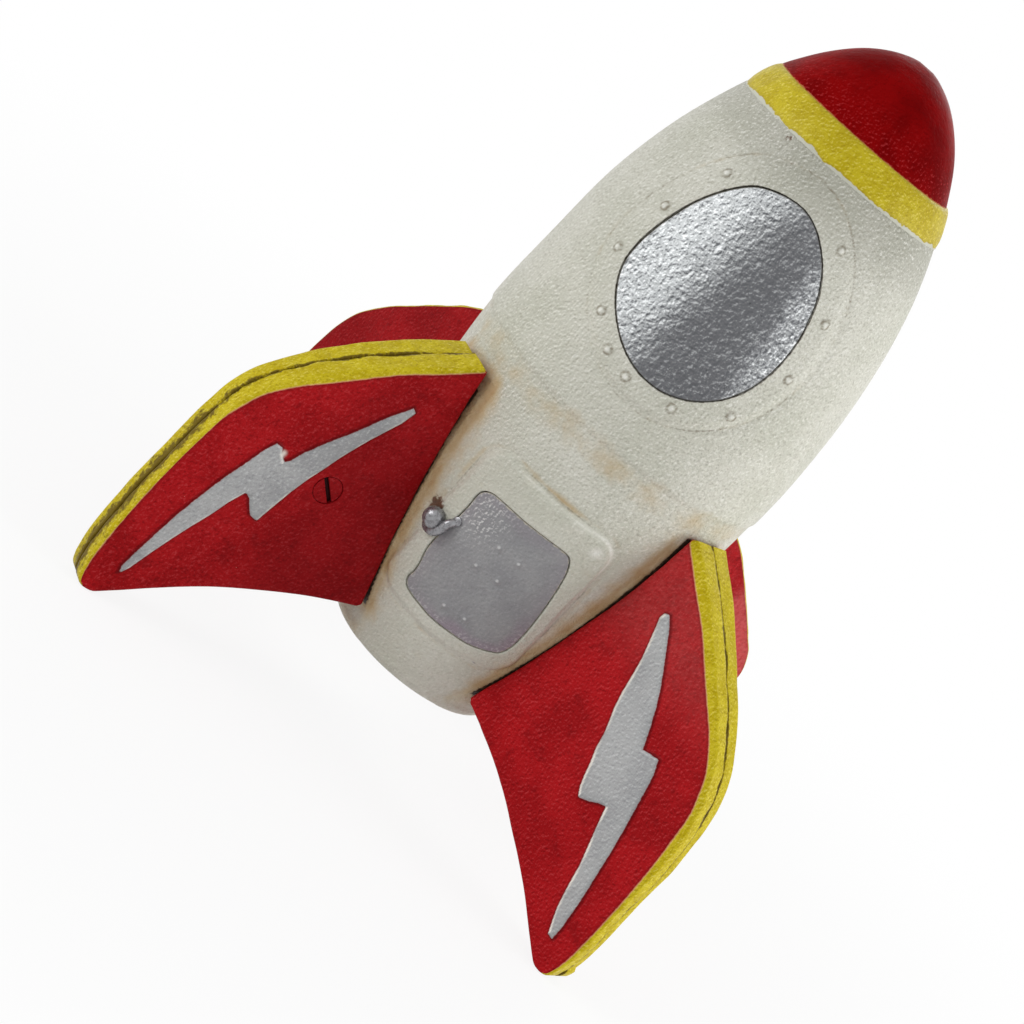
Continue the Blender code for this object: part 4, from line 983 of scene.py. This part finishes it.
def build_handle():
    """A small ball beside the door's edge, on a bar that curls round it from the door's face."""
    ball = door_surface(*np.array([-18.9, 66.8, -2.1]))
    r = 2.95
    inner = [(r * math.sin(a), r * math.cos(a)) for a in np.linspace(0, math.pi, 21)[1:-1]]
    sphere, sphere_faces = turned([(0.0, r), *inner, (0.0, -r)], 32)
    sphere = sphere * np.array([1.0, 0.95, 1.02]) + ball
    # The bar's course: x, height and depth below the door's face.
    track = np.array([
        (-20.4, 64.6, -1.0), (-19.0, 63.5, -1.4), (-17.2, 64.0, -1.7),
        (-16.0, 66.2, -1.8), (-15.4, 68.6, -1.4), (-14.3, 70.4, 0.6),
    ])
    route = spline(door_surface(*track.T), 7)
    bar = swept(route, lambda t: 0.6 + 0.9 * math.sin(math.pi * min(1.0, 0.1 + 0.8 * t)), 20)
    shank = door_surface(np.full(2, -14.6), np.full(2, 70.4), np.array([-0.6, 2.6]))
    stem = swept(np.linspace(*shank, 5), lambda t: 1.2, 16)
    points, faces = joined((sphere, sphere_faces), bar, stem)
    toward_light = (points - ball) @ np.array([-0.45, -0.65, 0.6]) / r
    # under is painted shade: on the ball's side turned away from the light, fainter along the bar and stem.
    under = smooth((0.25 - toward_light) / 1.3)
    under[len(sphere):] = 0.35 * smooth((0.5 - toward_light[len(sphere):]) / 1.5)
    piece("hatch_handle", "door_handle", points, faces, bright_handle(), "silver_paint", "hatch", under=under)


build_door()
build_handle()

# ---- Nose and collar ----

# How far the collar's outer face is drawn in, from its lower edge to its upper one.
COLLAR_INSET = (0.75, 0.62, 0.42, 0.225, 0.15, 0.075, 0, 0, 0, 0, 0.03, 0.12, 0.45)


def build_nose():
    low = COLLAR_TOP - 0.1
    profile = [(0.0, NOSE_TOP - 0.15)]
    for k in range(1, 61):
        z = low + (NOSE_TOP - 0.15 - low) * math.cos(math.pi / 2 * k / 60)
        profile.append((max(float(crown(z)) - min(1.0, k / 12), 0.0), z))
    rim = profile[-1][0]
    profile += [(r, low - 0.1) for r in (rim - 2, rim - 4, rim - 8, 0.0)]
    points, faces = turned(profile, 160)
    x, y, z = points.T
    r = np.hypot(x, y)
    share = np.clip((z - low) / (NOSE_TOP - low), 0, 1)
    swell = 0.22 * wobble(points, 13, 51) + 0.5 * (1 - share) * smooth(-np.sin(np.arctan2(x, -y)))
    points[:, :2] *= ((r + swell * (r > 4)) / np.maximum(r, 1e-6))[:, None]
    piece("nose", "nose_cap", points, faces, red_nose(), "red_paint", line=z - low)


def build_collar():
    foot, tall = COLLAR_LOW - 0.3, COLLAR_TOP + 0.25 - COLLAR_LOW
    levels = [foot + tall * k / 12 for k in range(13)]
    outer = [(float(crown(z)) - inset, z) for z, inset in zip(levels, COLLAR_INSET)]
    profile = outer[::-1] + [(outer[0][0] - 2.2, foot), (outer[-1][0] - 2.4, COLLAR_TOP - 0.05)]
    points, faces = turned(profile, 180)
    z = points[:, 2].copy()
    r = np.hypot(points[:, 0], points[:, 1])
    face = r > outer[0][0] - 6
    points[:, :2] *= ((r + (0.16 * wobble(points, 9, 61) - 0.05) * face) / r)[:, None]
    lift = np.clip(0.25 * wobble(points * np.array([1, 1, 0]), 16, 62), -0.3, 0.3)
    points[:, 2] += lift * smooth((z - COLLAR_LOW) / 3) * smooth((COLLAR_TOP - z) / 3)
    piece("collar", "nose_collar", points, faces, yellow_collar(), "yellow_paint", level=z - COLLAR_LOW)


build_nose()
build_collar()

# ---- Fins ----

# Outlines on a fin's own plane: x is the distance from the rocket's axis, z the height.
FIN_EDGE = [
    (58.9, 98.0), (70, 90), (75.6, 85.4), (81.7, 80.5), (88.0, 74.2), (91.6, 69.6), (94.5, 63.2),
    (95.8, 57.2), (96.6, 51.9), (97.7, 41.8), (98.6, 31.6), (99.0, 24), (99.2, 16), (98.9, 9), (98.2, 4.2),
]
FIN_TOE = spline([(98.2, 4.2), (97.0, 1.2), (95.0, 0.15), (92.4, 0.1), (90.4, 1.2)])
FIN_TRAIL = spline([
    (90.4, 1.2), (85.8, 4.2), (80.1, 8.2), (74.3, 12.1), (68.5, 15.5), (62.4, 18.6), (56.4, 21.5),
    (50.4, 24.2), (43.5, 26.9), (36.4, 29.2), (28.9, 31.3),
])
# Where the edge starts, and the root's pull, by fin and by whether the photographed side is meant.
FIN_STARTS = {
    ("front_left", True): (46.5, 104.9, 0.4),
    ("front_left", False): (45.4, 104.6, 1.6),
    ("front_right", True): (45.5, 107.0, 1.9),
    ("front_right", False): (45.0, 106.4, 2.3),
}
REAR_START = (46.6, 104.8, 0.8)


def fin_root(pull):
    """The root's edge, bowed to the shell; pull draws its upper end closer to the shell."""
    t = np.linspace(0, 1, 9)
    bow = 5.6 * t * (1 - t)
    return np.column_stack([28.9 + 18.3 * t + 0.973 * bow - pull * t**3, 31.3 + 72.9 * t - 0.232 * bow])


def fin_outline(place, seen):
    """Outer edge, root and whole outline of one half. The halves were cast apart and differ a little."""
    x0, z0, pull = FIN_STARTS.get((place, seen), REAR_START)
    x, z = np.array([(x0, z0), *FIN_EDGE]).T
    if place == "rear_right":
        x, z = x + 2.9 * bell((z - 64) / 9), z + 1.2 * bell((z - 68) / 9)
    if place == "front_left":
        z = z - (1.15 * smooth((76 - x) / 16) * smooth((x - 46) / 6) if seen else 1.3 * smooth((74 - x) / 18))
    if place == "front_right":
        swell = 1.6 * bell((z - 48) / 15) + 0.9 * bell((z - 24) / 12)
        above = 0.35 * smooth((z - 62) / 14) * smooth((104 - z) / 6) * seen
        x = np.minimum(x + swell + above, np.maximum(x, 99.15))
        x = x - 0.9 * smooth((66 - z) / 20) * (not seen)
    edge = spline(np.column_stack([x, z]))
    root = fin_root(pull)
    return edge, root, np.vstack([edge[:-1], FIN_TOE[:-1], FIN_TRAIL[:-1], root[:-1]])


PAINT_LINE = spline([
    (44, 105.5), (47.3, 103), (56.5, 96.6), (65, 91), (74, 83.6), (79.4, 79.2), (85, 74.6), (90.5, 68.6),
    (93.1, 63.5), (95.2, 58), (96.3, 51), (97.4, 42), (98.1, 32), (98.5, 22), (98.5, 15), (98.3, 8),
    (97.4, 2.4), (96.6, -3),
])
RED_FACE = np.vstack([PAINT_LINE, [(90, -8), (20, -8), (20, 110)]])
BOLT = np.array([
    (56.4, 85.4), (55.1, 84.6), (56.2, 80.5), (57.6, 77.6), (60.1, 72.4), (63.4, 64.2), (64.8, 59.6),
    (66.4, 54.9), (68.0, 49.2), (68.9, 44.5), (70.0, 38.7), (72.4, 39.2), (74.0, 41.0), (75.6, 43.0),
    (77.4, 44.0), (79.4, 39.5), (81.0, 34.6), (83.2, 28.9), (84.9, 24.1), (86.9, 17.8), (88.9, 11.0),
    (90.3, 8.4), (90.8, 10.6), (90.4, 14.5), (89.5, 21.0), (88.4, 29.0), (87.1, 35.2), (85.7, 40.6),
    (84.5, 45.4), (82.4, 51.4), (81.0, 56.0), (79.6, 59.2), (77.6, 58.9), (76.2, 57.2), (74.6, 55.8),
    (73.3, 57.3), (72.2, 60.3), (69.6, 64.9), (64.6, 72.5), (61.3, 78.1), (58.9, 81.8),
])
BOLT_RIGHT = np.array([
    (54.0, 87.2), (55.2, 87.9), (58.2, 84.9), (61.0, 81.3), (64.0, 77.5), (67.0, 73.4), (69.5, 69.3),
    (72.0, 64.6), (74.5, 59.5), (76.6, 60.3), (79.4, 61.0), (81.1, 57.6), (82.3, 54.0), (83.2, 50.7),
    (84.7, 45.3), (85.9, 40.9), (87.1, 35.6), (88.4, 29.3), (89.6, 24.0), (90.6, 18.9), (91.5, 12.6),
    (91.6, 8.8), (90.0, 9.0), (88.4, 12.2), (86.9, 15.4), (85.3, 20.3), (83.5, 27.0), (81.5, 32.4),
    (79.6, 37.4), (77.9, 42.6), (75.4, 41.4), (73.4, 39.8), (70.6, 38.4), (69.0, 40.6), (67.8, 43.5),
    (66.7, 46.8), (65.1, 50.5), (64.0, 54.6), (62.7, 57.8), (61.3, 61.0), (60.0, 65.2), (58.9, 70.2),
    (57.7, 75.0), (56.3, 79.0), (54.8, 83.0), (53.7, 85.6),
])


def fin_half_width(x):
    return FIN_ROOT_HALF - (FIN_ROOT_HALF - FIN_TIP_HALF) * (x - BELLY_R) / (FIN_REACH - BELLY_R)


def fin_tones(x, z):
    """Painted sheen (above 0) and painted shade (below 0) on each fin: paler where light glances on it,
    darker where it gets less light.
    """
    inner = smooth((78 - x) / 24) * smooth((96 - z) / 30)
    return {
        "front_left": -0.15 - 0.28 * inner,
        "front_right": 0.05 + 0.26 * smooth((z - 62) / 22) - 0.16 * smooth((45 - z) / 20),
        "rear_left": 0 * x - 0.35,
        "rear_right": 0.72 * smooth((z - 44) / 12) * smooth((x - 66) / 10) - 0.12,
    }


def build_fin_half(place, kind, step):
    screw = kind == "head_half"
    seen = screw == place.endswith("left")
    seed = 70 + 10 * list(FIN_ANGLES).index(place) + screw
    top_edge, root, outline = fin_outline(place, seen)
    sign = BOLT_RIGHT if place == "front_right" and seen else BOLT

    def to_screw(x, z):
        return np.hypot(x - SCREW_X, z - SCREW_Z)

    def field(x, z):
        f = to_outline(x, z, outline) - 0.9 + 0.15 * wobble(flat(x, z), 12, seed + 2)
        return np.minimum(f, to_screw(x, z) - SCREW_R - 0.12) if screw else f

    def fillet(x, z):
        return np.where(screw & (to_screw(x, z) < 6.0), 0.12, 0.9)

    def face(x, z):
        rise = 0.9 * smooth((to_outline(x, z, sign) + 0.5) / 0.9)
        lump = 0.16 * wobble(flat(x, z), 15, seed) * smooth(to_outline(x, z, outline) / 3)
        return fin_half_width(x) - 0.25 + rise + lump

    def thickness(x, z):
        return face(x, z) - SEAM

    def spot(x, z, drop):
        y = face(x, z) - drop
        lump = 0.14 * wobble(np.stack([x, y, z], -1), 5, seed + 5) * smooth(drop - 0.2)
        y = np.maximum(y, SEAM) * (1 if screw else -1)
        return swing(x + lump, y, np.maximum(z + lump, 0.0), FIN_ANGLES[place])

    xs, zs = np.arange(28, 101, step), np.arange(-1, 107, step)
    points, faces, t = solid_sheet(xs, zs, field, spot, thickness, fillet, middle=(0.3, 0.6, 0.8))
    if screw:
        faces = [face[::-1] for face in faces]
    x, z, drop = t.T
    on_rim = drop > 0.25
    from_edge = to_line(x, z, top_edge)
    on_red = np.minimum(to_line(x, z, FIN_TRAIL), to_line(x, z, root)) < from_edge
    line = to_outline(x, z, RED_FACE) if place.startswith("front") else from_edge - 0.25
    line = np.where(on_rim, np.where(on_red, 2.0, -2.0 - drop), line)

    from_seam = thickness(x, z) - drop
    toward_toe = smooth((100 - z) / 60)
    dirt = 0.25 + (1.1 if place == "front_left" else 0.35) * toward_toe
    seam = np.where(on_rim, dirt * fade(np.minimum(from_seam, 9), 0.4 + 2.4 * toward_toe * dirt), 0.0)
    seam = np.where(on_rim & (from_seam < 0.35), np.maximum(seam, 1.0), seam)

    bolt = np.where(drop < 0.3, to_outline(x, z, sign), -9.0)
    lean = to_outline(x + 0.3, z, sign) - to_outline(x - 0.3, z, sign)
    # Painted highlight along the bolt's edge on its root side, and a spot at the left bolt's notch.
    lit = (0.85 if place == "front_right" else 0.45) * bell((bolt - 0.35) / 0.45)
    lit = lit * smooth((lean - 0.15) / 0.25) * (0.7 + 0.3 * wobble(flat(x, z), 5, 9))
    if place == "front_left" and seen:
        lit = np.maximum(lit, 0.5 * np.exp(-((x - 76.2) ** 2 + (z - 57.6) ** 2) / 1.6))
    piece(
        f"fin_{place}_{'near' if screw else 'far'}", f"fin_{place}_{kind}",
        points, faces, FIN_PAINT, "red_paint",
        line=line, bolt=bolt, seam=seam, tone=fin_tones(x, z)[place], lit=np.clip(lit, 0, 1),
    )


def build_screw(place):
    """A countersunk head with its slot, painted over with the fin, with painted shade: near black in the
    slot, darker red on the head.
    """
    top = float(fin_half_width(SCREW_X)) - 0.45

    def across_slot(u, v):
        return np.abs(v - u) * math.sqrt(0.5)

    def spot(u, v, drop):
        slot = 0.95 * smooth((0.62 - across_slot(u, v)) / 0.28) * (drop < 0.5)
        y = top - slot - drop + 0.10 * (1 - (u * u + v * v) / 15)
        return swing(SCREW_X + u, y, SCREW_Z + v, FIN_ANGLES[place])

    us = np.arange(-4.0, 4.01, 0.13)
    points, faces, t = solid_sheet(
        us, us, lambda u, v: SCREW_R - 0.12 - np.hypot(u, v) - 0.14, spot, SCREW_WALL, 0.14, 0.2
    )
    faces = [face[::-1] for face in faces]
    u, v, drop = t.T
    even = np.ones(len(points))
    # Painted shade: near black in the slot, darker red on the whole head.
    piece(
        f"fin_{place}_screw_head", f"fin_{place}_screw", points, faces, FIN_PAINT, "red_paint",
        line=4.0 * even, bolt=-9.0 * even, seam=np.where((across_slot(u, v) < 0.6) & (drop < 0.6), 2.0, 0.25),
        tone=-0.45 * even, lit=0.0 * even,
    )


for place in FIN_ANGLES:
    for kind in ("head_half", "threaded_half"):
        build_fin_half(place, kind, 0.5 if place.startswith("front") else 0.8)
    build_screw(place)

# ---- Pieces that stay as they were made ----

KEPT = {"tie_rod": STEEL, "tie_rod_washer": STEEL, "hinge_pin": STEEL, "base_plate": IVORY}
for node, material in KEPT.items():
    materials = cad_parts[node].data.materials
    materials.clear()
    materials.append(material)

# ---- Floor, light and camera ----

CAMERA_RIGHT = (0.75752117, 0.13251776, 0.63921883)
CAMERA_UP = (-0.65040764, 0.23714514, 0.72161769)
CAMERA_BACK = (-0.05596048, -0.96239349, 0.26583303)
CAMERA_PLACE = (-0.03973017, -0.61532771, 0.24088032)


def ray_is(tree, *kinds):
    """1 for rays of the named kinds, otherwise 0."""
    path = add_node(tree, "LightPath", {})
    value = path.outputs[kinds[0]]
    for kind in kinds[1:]:
        value = add_node(tree, "Math", {0: value, 1: path.outputs[kind]}, operation="MAXIMUM").outputs[0]
    return value


def add_object(name, data):
    obj = bpy.data.objects.new(name, data)
    bpy.context.scene.collection.objects.link(obj)
    return obj


def build_floor():
    """A pale floor that keeps the shadow near the object and is seen as white further out."""
    size = 3.0
    corners = [(-size, -size, 0), (size, -size, 0), (size, size, 0), (-size, size, 0)]
    mesh = bpy.data.meshes.new("floor")
    mesh.from_pydata(corners, [], [(0, 1, 2, 3)])
    floor = add_object("floor", mesh)
    floor.location.z = -0.0002
    material = bpy.data.materials.new("floor")
    material.use_nodes = True
    tree = material.node_tree
    tree.nodes.clear()
    place = add_node(tree, "TexCoord", {}).outputs["Object"]
    reach = add_node(tree, "VectorMath", {0: place}, operation="LENGTH").outputs["Value"]
    inputs = {"Value": reach, "From Min": 0.12, "From Max": 0.42, "To Min": 0.88, "To Max": 1.0}
    far = add_node(tree, "MapRange", inputs, interpolation_type="SMOOTHSTEP").outputs["Result"]
    seen = ray_is(tree, "Is Camera Ray", "Is Glossy Ray")
    share = add_node(tree, "Math", {0: seen, 1: far}, operation="MULTIPLY").outputs[0]
    diffuse = add_node(tree, "BsdfDiffuse", {"Color": (0.9, 0.9, 0.9, 1)}).outputs[0]
    glow = add_node(tree, "Emission", {"Strength": 1.0}).outputs[0]
    mixed = add_node(tree, "MixShader", {0: share, 1: diffuse, 2: glow}).outputs[0]
    add_node(tree, "OutputMaterial", {"Surface": mixed})
    mesh.materials.append(material)


def build_light():
    """Surroundings that are white to look at but light the object at half strength, and three soft lamps."""
    world = bpy.data.worlds.new("studio")
    bpy.context.scene.world = world
    world.use_nodes = True
    tree = world.node_tree
    seen = ray_is(tree, "Is Camera Ray", "Is Glossy Ray", "Is Transmission Ray")
    strength = add_node(tree, "MapRange", {"Value": seen, "To Min": 0.5, "To Max": 1.0}).outputs["Result"]
    background = tree.nodes["Background"]
    put(tree, background.inputs["Color"], (1, 1, 1, 1))
    put(tree, background.inputs["Strength"], strength)
    aim = Vector((0, 0, 0.11))
    for name, place, size, energy in (
        ("right", (0.90, -0.14, 0.30), 0.5, 4.5),
        ("left", (-0.80, -0.45, 0.42), 0.5, 3.6),
        ("back", (0.15, 0.85, 0.65), 0.6, 2.2),
    ):
        data = bpy.data.lights.new(name, "AREA")
        data.shape, data.size, data.energy = "DISK", size, energy
        lamp = add_object(name, data)
        lamp.location = place
        lamp.rotation_euler = (aim - Vector(place)).to_track_quat("-Z", "Y").to_euler()


def build_camera():
    data = bpy.data.cameras.new("camera")
    data.sensor_width = 36.0
    data.lens = 36.0 * 2400 / 1024
    camera = add_object("camera", data)
    turn = Matrix((CAMERA_RIGHT, CAMERA_UP, CAMERA_BACK)).transposed()
    place = Vector(CAMERA_PLACE) + Vector(AXIS.tolist())
    camera.matrix_world = Matrix.Translation(place) @ turn.to_4x4()
    bpy.context.scene.camera = camera


build_floor()
build_light()
build_camera()
bpy.context.scene.view_settings.view_transform = "Standard"
